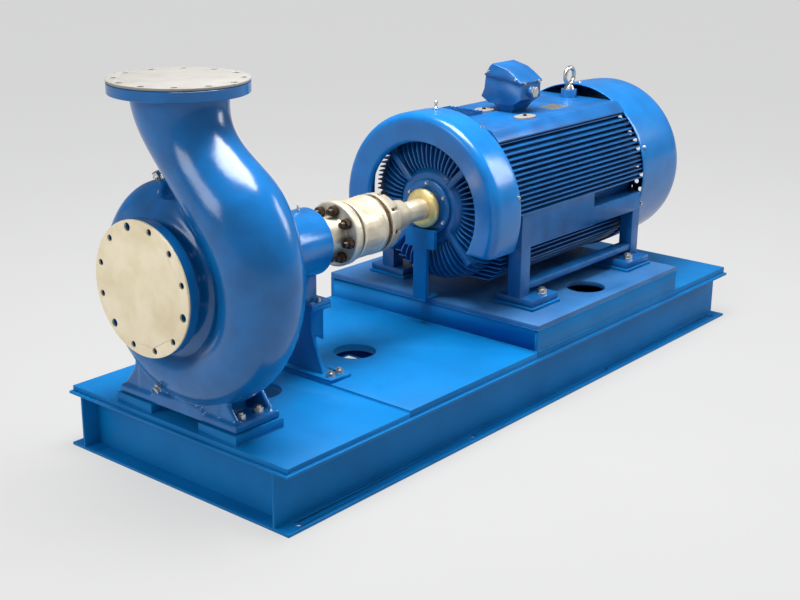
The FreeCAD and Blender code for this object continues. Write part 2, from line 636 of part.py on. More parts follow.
# ---- motor --------------------------------------------------------------------------------
def motor_shaft():
    """Stepped shaft: coupling end, journals, core seat and fan seat."""
    drive, rear = MOTOR_BEARING_XS
    shaft = turned([(MOTOR_HUB_FLANGE_X[0] + 4, 0), (MOTOR_HUB_FLANGE_X[0] + 4, MOTOR_SHAFT_R),
                    (drive - 45, MOTOR_SHAFT_R), (drive - 45, JOURNAL_R), (CORE_X0 - 70, JOURNAL_R),
                    (CORE_X0 - 70, 60), (CORE_X1 + 70, 60), (CORE_X1 + 70, JOURNAL_R),
                    (rear + 31, JOURNAL_R), (rear + 31, 38), (rear + 215, 38), (rear + 215, 0)])
    return shaft.cut(motor_hub_key())


def level_fin(z, widest):
    half = min(widest, math.sqrt(FIN_TIP_R ** 2 - (z - SHAFT_Z) ** 2))
    return block(FRAME_X0, FRAME_X1, -half, half, z - FIN_T / 2, z + FIN_T / 2)


def motor_frame():
    """Finned frame: tube, level side fins, sloping shoulders and flat roof."""
    tube = disc_x(FRAME_X0, FRAME_X1, FRAME_R)
    shoulder = FIN_TOP_Z + 9
    right = [(ROOF_HALF_W - 8, ROOF_TOP), (ROOF_HALF_W, ROOF_TOP - 4), (248, shoulder + 5),
             (248, shoulder), (190, shoulder), (185, shoulder - 60), (165, shoulder - 60),
             (165, ROOF_TOP - 20)]
    roof = prism_x(right + [(-y, z) for y, z in reversed(right)], FRAME_X0, FRAME_X1)
    fins = []
    for i in range(FIN_COUNT):
        z = FIN_TOP_Z - FIN_PITCH * i
        fins.append(level_fin(z, FIN_TIP_R))
    z = RAIL_Z[0] - 12
    while z > SHAFT_Z - FRAME_R + 4:
        fins.append(level_fin(z, LOW_FIN_HALF_W))
        z -= FIN_PITCH
    body = tube.fuse([roof] + fins)
    eye_pad = disc_z(ROOF_TOP - 1, EYE_PAD_TOP, 34, EYE_X, 0)
    body = body.fuse(eye_pad)
    eye_hole = disc_z(EYE_PAD_TOP - 40, EYE_PAD_TOP + 1, 10.2, EYE_X, 0)
    return body.cut([disc_x(FRAME_X0 - 1, FRAME_X1 + 1, FRAME_BORE_R), eye_hole])


def drive_end_shield():
    """Front shield with radial cooling fins that run out over its rim."""
    x, spigot_r = FRAME_X0, FRAME_BORE_R - 0.5
    web = turned([(x - 22, 88), (x - 22, 283), (x, 283), (x, spigot_r), (x + 14, spigot_r),
                  (x + 14, 250), (x, 240), (x, 88)])
    boss = turned([(x - 106, 88), (x - 106, 132), (x - 100, 140), (x - 68, 165), (x - 20, 172),
                   (x - 20, 88)])
    fins = []
    for i in range(DRIVE_FINS):
        angle = 360.0 * i / DRIVE_FINS
        points = [(x - 94, 150), (x - 102, 178), (x - 100, 225), (x - 90, 255), (x - 72, 280),
                  (x - 48, 298), (x - 20, 308), (x, 308), (x, 282), (x - 20, 282), (x - 20, 150)]
        fin = polygon([(a, -3, SHAFT_Z + r) for a, r in points]).extrude(Vec(0, 6, 0))
        fin.rotate(Vec(0, 0, SHAFT_Z), Vec(1, 0, 0), angle)
        fins.append(fin)
    struts = []
    for angle in (45, 135, 225, 315):
        strut = block(x - 108, x - 20, -13, 13, SHAFT_Z + 130, SHAFT_Z + 282)
        strut.rotate(Vec(0, 0, SHAFT_Z), Vec(1, 0, 0), angle - 90)
        struts.append(strut)
    return web.fuse([boss] + fins + struts)



def hood_line(skin):
    """The hood from its mouth round to its rear rim as (x, radius), moved in by the skin."""
    x, mouth, rear = HOOD_X0, HOOD_MOUTH_R, HOOD_X1
    line = [(x + 28, mouth, 0, 1), (x + 14, mouth + 5, 0.8, 0.6), (x + 9, mouth + 26, 1, 0.1),
            (x + 1, HOOD_R - 44, 1, -0.1), (x, HOOD_R - 22, 1, -0.3), (x + 16, HOOD_R - 2, 0.6, -0.8),
            (x + 46, HOOD_R, 0, -1), (rear - 10, HOOD_R - 1, 0, -1), (rear, HOOD_R - 7, 0, -1)]
    return rounded([(a + skin * da, r + skin * dr) for a, r, da, dr in line])


def drive_end_hood():
    points = hood_line(0) + hood_line(SHEET_T)[::-1]
    face = polygon([(x, 0, SHAFT_Z + r) for x, r in points])
    face.rotate(Vec(0, 0, SHAFT_Z), Vec(1, 0, 0), -HOOD_HALF_ANGLE)
    hood = face.revolve(Vec(0, 0, SHAFT_Z), Vec(1, 0, 0), 2 * HOOD_HALF_ANGLE)
    return hood.cut(block(HOOD_X0 - 1, HOOD_X1 + 1, -HOOD_R - 9, HOOD_R + 9, 0, HOOD_CUT_Z))


def rear_end_shield():
    x, spigot_r = FRAME_X1, FRAME_BORE_R - 0.5
    return turned([(x, 88), (x, 240), (x - 14, 250), (x - 14, spigot_r), (x, spigot_r), (x, 288),
                   (x + 18, 288), (x + 20, 150), (x + 34, 120), (x + 34, 88)])


def fan_cowl():
    """Spun cowl over the fan, open at the front, with air holes in its rear face."""
    outside = rounded([(FRAME_X1 + 2, COWL_R), (COWL_X1 - 84, COWL_R - 4),
                       (COWL_X1 - 30, COWL_R - 16), (COWL_X1, COWL_R - 60),
                       (COWL_X1, COWL_R - 110)])
    inside = rounded([(COWL_X1 - SHEET_T, COWL_R - 112), (COWL_X1 - SHEET_T, COWL_R - 62),
                      (COWL_X1 - 33, COWL_R - 20), (COWL_X1 - 86, COWL_R - 8),
                      (FRAME_X1 + 2, COWL_R - 4)])
    shell = turned(outside + [(COWL_X1, 0), (COWL_X1 - SHEET_T, 0)] + inside)
    holes = []
    for radius, count in ((90, 14), (130, 20), (170, 26), (210, 32)):
        holes += [disc_x(COWL_X1 - 10, COWL_X1 + 1, 11, y, z) for y, z in around_x(radius, count)]
    return shell.cut(holes)


def motor_fan():
    x = FAN_X0
    hub = ring_x(x, x + 90, 38, 70)
    plate = turned([(x, 66), (x, 72), (x + 30, 250), (x + 34, 250), (x + 6, 72), (x + 6, 66)])
    blades = []
    for i in range(FAN_BLADES):
        outline = [(x + 10, 66), (x + 10, 290), (x + 78, 270), (x + 120, 236), (x + 120, 150),
                   (x + 80, 66)]
        blade = polygon([(a, -3, SHAFT_Z + r) for a, r in outline]).extrude(Vec(0, 6, 0))
        blade.rotate(Vec(0, 0, SHAFT_Z), Vec(1, 0, 0), 360.0 * i / FAN_BLADES)
        blades.append(blade)
    return largest(hub.fuse([plate] + blades))


def end_winding(x0, x1):
    middle = (x0 + x1) / 2
    return turned([(x0, 190), (x0, 236), (middle, 246), (x1, 240), (x1, 182), (middle, 178)])


def foot_frame():
    """One side's welded feet: pads, legs, the stepped rail over them and a low bar."""
    z0 = PLINTH_TOP + PACKER_T
    pad_top = z0 + FOOT_PLATE_T
    front, rear = LEG_DRIVE_X, LEG_REAR_X
    pads = []
    for x0 in (front[0], rear[1] - FOOT_PLATE_L):
        pad = block(x0, x0 + FOOT_PLATE_L, 240, 412, z0, pad_top)
        pads.append(pad.cut([disc_z(z0 - 1, pad_top + 1, 11, x, y) for x, y in foot_bolt_spots()]))
    legs = [block(x0, x1, LEG_Y0, LEG_Y1, pad_top, RAIL_Z[0]) for x0, x1 in (front, rear)]
    core = disc_x(FRAME_X0 - 20, FRAME_X1 + 60, FRAME_R)
    rails = [block(front[0], RAIL_STEP_X, 235, LEG_Y1, RAIL_Z[0], RAIL_Z[1]).cut(core),
             block(RAIL_STEP_X, rear[1], 235, LEG_Y1, RAIL_Z[0], RAIL_REAR_Z).cut(core)]
    bar = block(front[1], rear[0], LEG_Y0 + 4, LEG_Y1 - 4, 402, 426)
    return pads + legs + rails + [bar]


def foot_bolt_spots():
    return [(x, y) for x in (LEG_DRIVE_X[0] + 119, LEG_REAR_X[1] - 110) for y in (274, 374)]


def lifting_eye():
    ring = Part.makeTorus(34, 9, Vec(EYE_X, 0, EYE_PAD_TOP + 58), Vec(0, 1, 0))
    collar = Part.makeCone(24, 16, 18, Vec(EYE_X, 0, EYE_PAD_TOP))
    shank = disc_z(EYE_PAD_TOP - 26, EYE_PAD_TOP + 22, 10, EYE_X, 0)
    return fuse_all([ring, collar, shank])


def tapered_box(x, y, z0, z1, half_x0, half_y0, half_x1, half_y1):
    def frame(z, hx, hy):
        corners = [(x - hx, y - hy), (x + hx, y - hy), (x + hx, y + hy), (x - hx, y + hy)]
        return Part.makePolygon([Vec(a, b, z) for a, b in corners + corners[:1]])
    return Part.makeLoft([frame(z0, half_x0, half_y0), frame(z1, half_x1, half_y1)], True, True)


def rim_z(y):
    """Height of the terminal box's sloping rim at this place across it."""
    slope = (BOX_FAR_RIM - BOX_NEAR_RIM) / (BOX_FAR_Y - BOX_NEAR_Y)
    return BOX_NEAR_RIM + (y - BOX_NEAR_Y) * slope


def terminal_box():
    """Cast box that widens from a narrow neck to its sloping rim, with a cable entry."""
    near, far, z0 = BOX_NEAR_Y, BOX_FAR_Y, BOX_FLOOR
    neck = tapered_box((BOX_X0 + BOX_X1) / 2, -10, ROOF_TOP, z0 + 3, 50, 32, 60, 56)
    body = prism_x([(-60, z0), (57, z0), (far + 20, z0 + 23), (far + 6, z0 + 57), (far, BOX_FAR_RIM),
                    (near, BOX_NEAR_RIM), (near, z0 + 27)], BOX_X0, BOX_X1)
    room = block(BOX_X0 + 8, BOX_X1 - 8, near + 10, far - 10, z0 + 30, BOX_FAR_RIM + 40)
    entry_y = near + 2
    entry = Part.makeCylinder(24, 18, Vec((BOX_X0 + BOX_X1) / 2, entry_y, z0 + 54), Vec(0, -1, 0))
    return fuse_all([neck, body, entry]).cut(room)


def terminal_box_lid():
    """Domed lid, higher on the far side, hollow underneath."""
    near, far = BOX_NEAR_Y - 5, BOX_FAR_Y + 5
    dome = [(far, BOX_FAR_RIM + 8), (72, BOX_FAR_RIM + 12), (57, 1207), (42, 1220), (-28, 1203),
            (-58, 1186), (near, BOX_NEAR_RIM + 9)]
    shell = prism_x([(near, rim_z(near)), (far, rim_z(far))] + dome, BOX_X0 - 6, BOX_X1 + 6)
    room = prism_x([(-88, rim_z(-88) - 1), (68, rim_z(68) - 1), (62, 1182), (50, 1200), (38, 1210),
                    (-26, 1194), (-54, 1177), (-88, 1153)], BOX_X0 + 6, BOX_X1 - 6)
    return shell.cut(room)


# ---- fasteners ----------------------------------------------------------------------------
def hold_down_bolt(x, y, z_seat, shank_r, flat_r, depth):
    head = hexagon_z(z_seat + 3, z_seat + 3 + shank_r * 1.3, flat_r, x, y)
    washer = disc_z(z_seat, z_seat + 3, flat_r * 1.2, x, y)
    shank = disc_z(z_seat - depth, z_seat + shank_r * 1.9 + 3, shank_r, x, y)
    return fuse_all([head, washer, shank])


# ---- write every node ---------------------------------------------------------------------
save("long_beam_near", long_beam(-1))
save("long_beam_far", long_beam(1))
half_flange = BEAM_FLANGE_W / 2
save("end_beams", cross_beam(BASE_X0 + half_flange), cross_beam(BASE_X1 - half_flange))
save("cross_beams", *[cross_beam(x) for x in CROSS_BEAM_XS])
save("pump_deck_plate", deck(BASE_X0 + DECK_SET_BACK, DECK_JOINT_X, PUMP_DECK_TOP, [PUMP_GROUT_X]))
save("middle_deck_plate", deck(DECK_JOINT_X, PLINTH_X0, DECK_TOP, [MIDDLE_GROUT_X]))
save("rear_deck_plate", deck(PLINTH_X0, BASE_X1 - DECK_SET_BACK, DECK_TOP))
save("plinth_walls", *plinth_walls())
save("plinth_top_plate", plinth_top_plate())
pump_pad = block(FOOT_X0 - 8, FOOT_X1 + 8, FOOT_Y0 - 4, FOOT_Y1 + 8, PUMP_DECK_TOP,
                 PUMP_DECK_TOP + FOOT_PAD_T)
for bolt_x in FOOT_BOLT_XS:
    pump_pad = pump_pad.cut(disc_z(PUMP_DECK_TOP + 2, PUMP_DECK_TOP + 60, 10, bolt_x, FOOT_BOLT_Y))
save("casing_foot_pads", *both_sides(pump_pad))
packers = []
for x0 in (LEG_DRIVE_X[0] - 6, LEG_REAR_X[1] - 182):
    packer = block(x0, x0 + 188, 232, 420, PLINTH_TOP, PLINTH_TOP + PACKER_T)
    packer = packer.cut([disc_z(PLINTH_TOP - 1, PLINTH_TOP + 20, 11, x, y)
                         for x, y in foot_bolt_spots()])
    packers += both_sides(packer)
save("motor_foot_packers", *packers)
save("guard_post", guard_post())
save("bearing_pedestal", bearing_pedestal())

save("volute_casing", volute_casing())
save("casing_plugs", *casing_plugs())
save("casing_cover", casing_cover())
save("casing_cover_studs", *cover_studs())
save("casing_wear_rings", ring_x(-1352, -1337, EYE_R + 0.5, 142), ring_x(-1212, -1200, 91, 104))
plain_radii = [FLANGE_HOLE_R] * FLANGE_BOLTS
blank_radii = [LARGE_HOLE_R if i in LARGE_HOLES else FLANGE_HOLE_R for i in range(FLANGE_BOLTS)]
suction_x = SUCTION_FACE_X - GASKET_T
suction_plate = disc_x(suction_x - BLANK_T, suction_x, FLANGE_R)
suction_plate = suction_plate.cut(flange_holes_x(suction_x - 20, suction_x + 1, blank_radii))
save("suction_blank_plate", suction_plate)
top_z = DISCHARGE_FACE_Z + GASKET_T
top_plate = disc_z(top_z, top_z + BLANK_T, FLANGE_R, PUMP_X, 0)
save("discharge_blank_plate", top_plate.cut(flange_holes_z(top_z - 1, top_z + 20, plain_radii)))
suction_gasket = ring_x(suction_x, SUCTION_FACE_X, 152, 186)
discharge_gasket = disc_z(DISCHARGE_FACE_Z, top_z, 186, PUMP_X, 0)
discharge_gasket = discharge_gasket.cut(disc_z(DISCHARGE_FACE_Z - 1, top_z + 1, 152, PUMP_X, 0))
save("flange_gaskets", suction_gasket, discharge_gasket)
save("seal_gland", turned([(DRUM_X1 + 110, 40), (DRUM_X1 + 110, 94), (DRUM_X1 + 124, 94),
                           (DRUM_X1 + 124, 40)]))
save("bearing_bracket", bearing_bracket())
inner_x = BARREL_X0 - 52
save("bearing_cover_inner", turned([(inner_x - 18, 34), (inner_x - 18, 92), (inner_x, 92),
                                    (inner_x, 59), (inner_x + 9, 59), (inner_x + 9, 50),
                                    (inner_x, 34)]))
outer_x = BRACKET_X1
save("bearing_cover_outer", turned([(outer_x, 34), (outer_x, 50), (outer_x - 34, 50),
                                    (outer_x - 34, 69.5), (outer_x, 69.5), (outer_x, 104),
                                    (outer_x + 16, 104), (outer_x + 24, 92), (outer_x + 30, 60),
                                    (outer_x + 30, 34)]))
front_bearing = ball_bearing(BEARING_XS[0], PUMP_SHAFT_R, 60, 34)
rear_bearing = ball_bearing(BEARING_XS[1], PUMP_SHAFT_R, 70, 34)
save("pump_bearing_outer_rings", front_bearing[0], rear_bearing[0])
save("pump_bearing_inner_rings", *(front_bearing[1] + rear_bearing[1]))
casing_bolts = []
seat = PUMP_DECK_TOP + FOOT_PAD_T + FOOT_T
for bolt_x in FOOT_BOLT_XS:
    bolt = hold_down_bolt(bolt_x, FOOT_BOLT_Y, seat, 10, 16, FOOT_T + FOOT_PAD_T - 4)
    casing_bolts += both_sides(bolt)
save("casing_foot_bolts", *casing_bolts)
pedestal_bolts = []
for bolt_x, bolt_y in PEDESTAL_BASE_BOLTS:
    pedestal_bolts.append(hold_down_bolt(bolt_x, bolt_y, DECK_TOP + PEDESTAL_PLATE_T, 9, 14, 14))
for side in (-1, 1):
    pedestal_bolts.append(hold_down_bolt(BRACKET_BOLT_X, side * BRACKET_BOLT_Y,
                                         PEDESTAL_TOP + BRACKET_FOOT_T, 6, 9, 34))
save("pedestal_bolts", *pedestal_bolts)

save("impeller", impeller())
save("impeller_nut", impeller_nut())
save("pump_shaft", pump_shaft())
save("pump_shaft_keys", impeller_key(), pump_hub_key())
save("shaft_sleeve", ring_x(PUMP_X + 74, -1045, SLEEVE_BORE_R, 36))
save("pump_coupling_hub", pump_coupling_hub())
save("coupling_disc_packs", disc_pack(PUMP_HUB_FLANGE_X[1], SPACER_X[0]),
     disc_pack(SPACER_X[1], MOTOR_HUB_FLANGE_X[0]))
save("coupling_spacer", coupling_spacer())
save("coupling_bolts", *coupling_bolts())
save("motor_coupling_hub", motor_coupling_hub())

save("motor_shaft", motor_shaft())
save("motor_shaft_key", motor_hub_key())
save("shaft_flinger", turned([(-100, MOTOR_SHAFT_R), (-100, 60), (-96, 72), (-88, 77), (-78, 77),
                              (-78, 62), (-62, 58), (-62, MOTOR_SHAFT_R)]))
save("rotor_core", ring_x(CORE_X0, CORE_X1, 60, 168.5))
save("stator_core", ring_x(CORE_X0, CORE_X1, 170, FRAME_BORE_R))
save("end_windings", end_winding(CORE_X0 - 70, CORE_X0), end_winding(CORE_X1, CORE_X1 + 70))
save("motor_fan", motor_fan())
drive_bearing = ball_bearing(MOTOR_BEARING_XS[0], JOURNAL_R, 88, 36)
fan_bearing = ball_bearing(MOTOR_BEARING_XS[1], JOURNAL_R, 88, 36)
save("motor_bearing_outer_rings", drive_bearing[0], fan_bearing[0])
save("motor_bearing_inner_rings", *(drive_bearing[1] + fan_bearing[1]))
save("motor_frame", motor_frame())
save("drive_end_shield", drive_end_shield())
save("drive_bearing_cap", turned([(-60, 62), (-60, 104), (-56, 108), (-46, 108), (-46, 87.5),
                                  (4, 87.5), (4, 70), (-46, 62)]))
save("drive_end_hood", drive_end_hood())
save("rear_end_shield", rear_end_shield())
save("fan_cowl", fan_cowl())
feet = foot_frame()
save("motor_feet", *feet, *[mirrored_y(piece) for piece in feet])
motor_bolts = []
seat = PLINTH_TOP + PACKER_T + FOOT_PLATE_T
for bolt_x, bolt_y in foot_bolt_spots():
    motor_bolts += both_sides(hold_down_bolt(bolt_x, bolt_y, seat, 11, 17, PACKER_T + FOOT_PLATE_T))
save("motor_foot_bolts", *motor_bolts)
save("terminal_box", terminal_box())
save("terminal_box_lid", terminal_box_lid())
save("lifting_eye", lifting_eye())
save("rating_plate", block(600, 720, -130, -50, ROOF_TOP, ROOF_TOP + 1.5))
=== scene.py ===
"""Studio scene of an end-suction water pump with its electric motor on a welded steel base.

Metres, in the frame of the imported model: X along the shaft from pump to motor, Z up.
"""

import logging
import math
from dataclasses import dataclass, field
from enum import Enum

import bpy
from mathutils import Matrix, Vector


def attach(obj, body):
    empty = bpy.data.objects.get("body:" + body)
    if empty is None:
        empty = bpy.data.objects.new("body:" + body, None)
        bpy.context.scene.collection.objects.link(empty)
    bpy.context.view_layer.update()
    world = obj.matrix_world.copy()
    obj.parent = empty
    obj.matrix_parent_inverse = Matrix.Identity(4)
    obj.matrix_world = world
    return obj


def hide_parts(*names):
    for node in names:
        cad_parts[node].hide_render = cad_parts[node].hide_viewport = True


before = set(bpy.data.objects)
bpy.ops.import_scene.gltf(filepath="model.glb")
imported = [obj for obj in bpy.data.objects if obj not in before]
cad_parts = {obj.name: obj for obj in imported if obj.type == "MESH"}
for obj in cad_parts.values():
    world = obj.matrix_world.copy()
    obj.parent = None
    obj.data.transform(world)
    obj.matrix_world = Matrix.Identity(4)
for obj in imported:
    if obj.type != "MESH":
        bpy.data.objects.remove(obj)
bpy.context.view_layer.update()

LOG = logging.getLogger("pump_set")
MM = 0.001
SHAFT_Z = 0.715                        # the shaft line's height above the floor
TO_MOTOR = Vector((1.0, 0.0, 0.0))
TO_PUMP = Vector((-1.0, 0.0, 0.0))
TO_NEAR_SIDE = Vector((0.0, -1.0, 0.0))
UP = Vector((0.0, 0.0, 1.0))
MOTTLE_BAND = (0.36, 0.66)             # noise values between which one colour turns into the other
BUMP_STRENGTH = 0.7
COAT_ROUGHNESS = 0.08                  # a clean clear coat
MILL_STRETCH = (0.12, 1.0, 1.0)        # marks eight times longer along X than across

Ring = list[Vector]
Span = tuple[float, float]
Place = tuple[float, float, float]


# ---- finishes -----------------------------------------------------------------------------
def linear(code: str) -> tuple[float, float, float, float]:
    """Turn an sRGB hex colour into the linear values a shader wants.

    Args:
        code: six hex digits, red first.

    Returns:
        Red, green, blue and a full alpha.
    """
    parts = [int(code[i:i + 2], 16) / 255 for i in (0, 2, 4)]
    rgb = [c / 12.92 if c <= 0.04045 else ((c + 0.055) / 1.055) ** 2.4 for c in parts]
    return rgb[0], rgb[1], rgb[2], 1.0


def add_node(tree: bpy.types.NodeTree, kind: str, settings: dict, links: dict) -> bpy.types.Node:
    """Add one node with its settings and its incoming links.

    Args:
        tree: the node tree that gets the node.
        kind: the node's type name.
        settings: attributes by name, or input values by socket name or number.
        links: source sockets by input name or number.

    Returns:
        The new node.
    """
    node = tree.nodes.new(kind)
    for key, value in settings.items():
        if isinstance(key, str) and hasattr(node, key):
            setattr(node, key, value)
        else:
            node.inputs[key].default_value = value
    for key, source in links.items():
        tree.links.new(source, node.inputs[key])
    return node


class Pattern(Enum):
    """How the surface was made, which decides the relief the light catches."""

    SPRAYED = "sprayed"      # fine orange peel of a spray gun
    CAST = "cast"            # soft lumps of a sand casting under paint
    ROLLED = "rolled"        # long faint marks of the mill or the brush
    TURNED = "turned"        # lathe feed marks about the shaft
    STACKED = "stacked"      # edges of sheets stacked along the shaft
    FIBRE = "fibre"          # matt felted or moulded grain


@dataclass(frozen=True)
class Finish:
    """One real finish: its colours, its gloss and the relief of its surface.

    The colour turns into the shade in blotches of mottle_mm, and the roughness varies by the spread
    with them. The grain is the relief pattern's pitch and the relief its height.
    """

    name: str
    colour: str
    shade: str
    pattern: Pattern
    grain_mm: float
    relief_mm: float
    roughness: float
    metallic: float = 0.0
    ior: float = 1.5
    mottle_mm: float = 90.0
    spread: float = 0.05
    coat: float = 0.0

    def material(self) -> bpy.types.Material:
        """Return the finish's material, built the first time it is asked for."""
        known = bpy.data.materials.get(self.name)
        return known if known else self.build()

    def relief(self, tree: bpy.types.NodeTree,
               place: bpy.types.NodeSocket) -> bpy.types.NodeSocket:
        """Build the height pattern.

        Args:
            tree: the material's node tree.
            place: the object coordinates, in metres.

        Returns:
            The socket that carries the height.
        """
        scale = 1.0 / (self.grain_mm * MM)
        if self.pattern in (Pattern.TURNED, Pattern.STACKED):
            centred = add_node(tree, "ShaderNodeVectorMath",
                               {"operation": "SUBTRACT", 1: (0.0, 0.0, SHAFT_Z)}, {0: place})
            across = add_node(tree, "ShaderNodeVectorMath",
                              {"operation": "MULTIPLY", 1: (0.0, 1.0, 1.0)},
                              {0: centred.outputs[0]})
            radius = add_node(tree, "ShaderNodeVectorMath", {"operation": "LENGTH"},
                              {0: across.outputs[0]})
            along = add_node(tree, "ShaderNodeSeparateXYZ", {}, {0: place})
            both = add_node(tree, "ShaderNodeMath", {"operation": "ADD", 1: 0.0},
                            {0: along.outputs[0]})
            if self.pattern is Pattern.TURNED:
                tree.links.new(radius.outputs["Value"], both.inputs[1])
            phase = add_node(tree, "ShaderNodeMath",
                             {"operation": "MULTIPLY", 1: scale * math.tau},
                             {0: both.outputs[0]})
            return add_node(tree, "ShaderNodeMath", {"operation": "SINE"},
                            {0: phase.outputs[0]}).outputs[0]
        stretch = MILL_STRETCH if self.pattern is Pattern.ROLLED else (1.0, 1.0, 1.0)
        mapped = add_node(tree, "ShaderNodeMapping", {"Scale": stretch}, {"Vector": place})
        detail = 1.0 if self.pattern is Pattern.SPRAYED else 4.0
        return add_node(tree, "ShaderNodeTexNoise", {"Scale": scale, "Detail": detail},
                        {"Vector": mapped.outputs[0]}).outputs["Fac"]

    def build(self) -> bpy.types.Material:
        """Build the material: mottled colour, uneven gloss and the relief as a bump.

        Returns:
            The new material.
        """
        material = bpy.data.materials.new(self.name)
        material.use_nodes = True
        tree = material.node_tree
        shader = tree.nodes["Principled BSDF"]
        shader.inputs["Metallic"].default_value = self.metallic
        if self.metallic == 0.0:
            shader.inputs["IOR"].default_value = self.ior
        shader.inputs["Coat Weight"].default_value = self.coat
        shader.inputs["Coat Roughness"].default_value = COAT_ROUGHNESS
        place = add_node(tree, "ShaderNodeTexCoord", {}, {}).outputs["Object"]
        mottle = add_node(tree, "ShaderNodeTexNoise",
                          {"Scale": 1.0 / (self.mottle_mm * MM), "Detail": 5.0}, {"Vector": place})
        share = add_node(tree, "ShaderNodeMapRange",
                         {"From Min": MOTTLE_BAND[0], "From Max": MOTTLE_BAND[1]},
                         {"Value": mottle.outputs["Fac"]})
        colour = add_node(tree, "ShaderNodeMix",
                          {"data_type": "RGBA", 6: linear(self.colour), 7: linear(self.shade)},
                          {0: share.outputs[0]})
        tree.links.new(colour.outputs[2], shader.inputs["Base Color"])
        gloss = add_node(tree, "ShaderNodeMapRange",
                         {"To Min": self.roughness - self.spread,
                          "To Max": self.roughness + self.spread},
                         {"Value": mottle.outputs["Fac"]})
        tree.links.new(gloss.outputs[0], shader.inputs["Roughness"])
        bump = add_node(tree, "ShaderNodeBump",
                        {"Distance": self.relief_mm * MM, "Strength": BUMP_STRENGTH},
                        {"Height": self.relief(tree, place)})
        tree.links.new(bump.outputs[0], shader.inputs["Normal"])
        return material


# Gloss enamel sprayed over sand-cast iron: soft lumps break up the reflections.
CAST_ENAMEL = Finish("gloss_enamel_on_cast_iron", "0A63A6", "085894", Pattern.CAST, 16.0, 0.5, 0.2)
# Sprayed enamel on spun sheet steel: an even skin with faint orange peel, coarser than real.
SHEET_ENAMEL = Finish("sprayed_enamel_on_sheet_steel", "0C6BB0", "0A62A4", Pattern.SPRAYED, 5.0,
                      0.06, 0.22)
# Enamel on the motor's ribbed castings, a little flatter where the spray went in dry.
MOTOR_ENAMEL = Finish("sprayed_enamel_on_motor_castings", "0A5C9C", "084E88", Pattern.CAST, 9.0,
                      0.15, 0.34)
# Satin enamel on hot-rolled beams and plate: flat colour, faint long marks.
PLATE_ENAMEL = Finish("satin_enamel_on_rolled_plate", "006DAE", "0064A2", Pattern.ROLLED, 7.0,
                      0.12, 0.52, ior=1.25, mottle_mm=240.0)
# Thin enamel on the plinth's top plate: paler, because the primer shows through.
THIN_ENAMEL = Finish("thin_enamel_on_plinth_plate", "2A659C", "1C568C", Pattern.ROLLED, 9.0, 0.12,
                     0.5, mottle_mm=180.0)
# Cream shop primer on the suction blank: satin, slightly streaked by the brush.
CREAM_PRIMER = Finish("cream_shop_primer", "EFE2C4", "E2D2AE", Pattern.ROLLED, 6.0, 0.1, 0.46)
# White primer on the discharge blank, held down to grey because it lies flat under the softbox.
WHITE_PRIMER = Finish("white_shop_primer", "8A8883", "827F7A", Pattern.ROLLED, 6.0, 0.1, 0.46)
# Turned carbon steel: warm grey with feed rings, drawn at 1.6 mm where the real feed is finer.
TURNED_STEEL = Finish("turned_carbon_steel", "E6DCC4", "D2C6AA", Pattern.TURNED, 1.6, 0.025, 0.38,
                      metallic=0.6, mottle_mm=40.0)
# Coupling flanges, turned and lightly oiled: darker and browner than the hubs.
OILED_STEEL = Finish("oiled_turned_steel", "D6CEBA", "BEB5A0", Pattern.TURNED, 2.0, 0.03, 0.42,
                     metallic=0.6, mottle_mm=50.0)
# Zinc plate: bright, slightly cloudy.
ZINC_PLATE = Finish("bright_zinc_plate", "D6D6D2", "BDBEBC", Pattern.SPRAYED, 3.0, 0.02, 0.3,
                    metallic=1.0, mottle_mm=12.0)
# Black oxide on the coupling nuts, rubbed brown on the corners.
BLACK_OXIDE = Finish("rubbed_black_oxide", "5A4A3C", "3A3028", Pattern.SPRAYED, 3.0, 0.03, 0.42,
                     metallic=0.8, mottle_mm=9.0)
# Turned brass of the flinger ring: warm yellow with feed rings.
TURNED_BRASS = Finish("turned_brass", "E2CE92", "D2BC78", Pattern.TURNED, 1.6, 0.02, 0.38,
                      metallic=0.6, mottle_mm=30.0)
# Ground tin bronze of the sleeve and the wear rings: a fine brown gleam.
GROUND_BRONZE = Finish("ground_tin_bronze", "B08A58", "96744A", Pattern.TURNED, 1.2, 0.015, 0.3,
                       metallic=1.0, mottle_mm=30.0)
# Browned spring steel of the disc packs, with sheet edges drawn at 1.5 mm.
SPRING_STEEL = Finish("browned_spring_steel", "7A6246", "5A4632", Pattern.STACKED, 1.5, 0.05, 0.4,
                      metallic=0.9, mottle_mm=25.0)
# Compressed fibre gasket: matt, dark and felted.
GASKET_FIBRE = Finish("compressed_fibre", "3A3E3C", "2C302E", Pattern.FIBRE, 2.5, 0.1, 0.85)
# Bare grey iron as it left the sand: dull and pitted.
BARE_IRON = Finish("as_cast_grey_iron", "6A6866", "504E4C", Pattern.CAST, 4.0, 0.3, 0.62,
                   metallic=0.7, mottle_mm=30.0)
# Ground and polished bearing steel: near a mirror.
BEARING_STEEL = Finish("ground_bearing_steel", "D8D8DA", "C8C8CC", Pattern.TURNED, 1.0, 0.005,
                       0.14, metallic=1.0, spread=0.03)
# Varnished electrical sheet, its edges drawn at 2 mm where the real sheets are 0.5 mm.
LAMINATION = Finish("varnished_laminations", "6A6C70", "55575C", Pattern.STACKED, 2.0, 0.1, 0.45,
                    metallic=0.8)
# Copper wire under brown insulating varnish: a warm wet gloss over ridges.
WINDING = Finish("varnished_copper_winding", "8A3C1E", "6A2A14", Pattern.STACKED, 3.0, 0.6, 0.35)
# Moulded polymer of the fan: black with a faint grain.
FAN_POLYMER = Finish("moulded_black_polymer", "26272A", "1C1D20", Pattern.FIBRE, 1.5, 0.04, 0.5)
# Etched aluminium of the blank rating plate: pale and satin.
ETCHED_PLATE = Finish("etched_blank_aluminium", "C9C7C2", "B5B2AC", Pattern.ROLLED, 2.0, 0.02, 0.4,
                      metallic=1.0, mottle_mm=14.0)
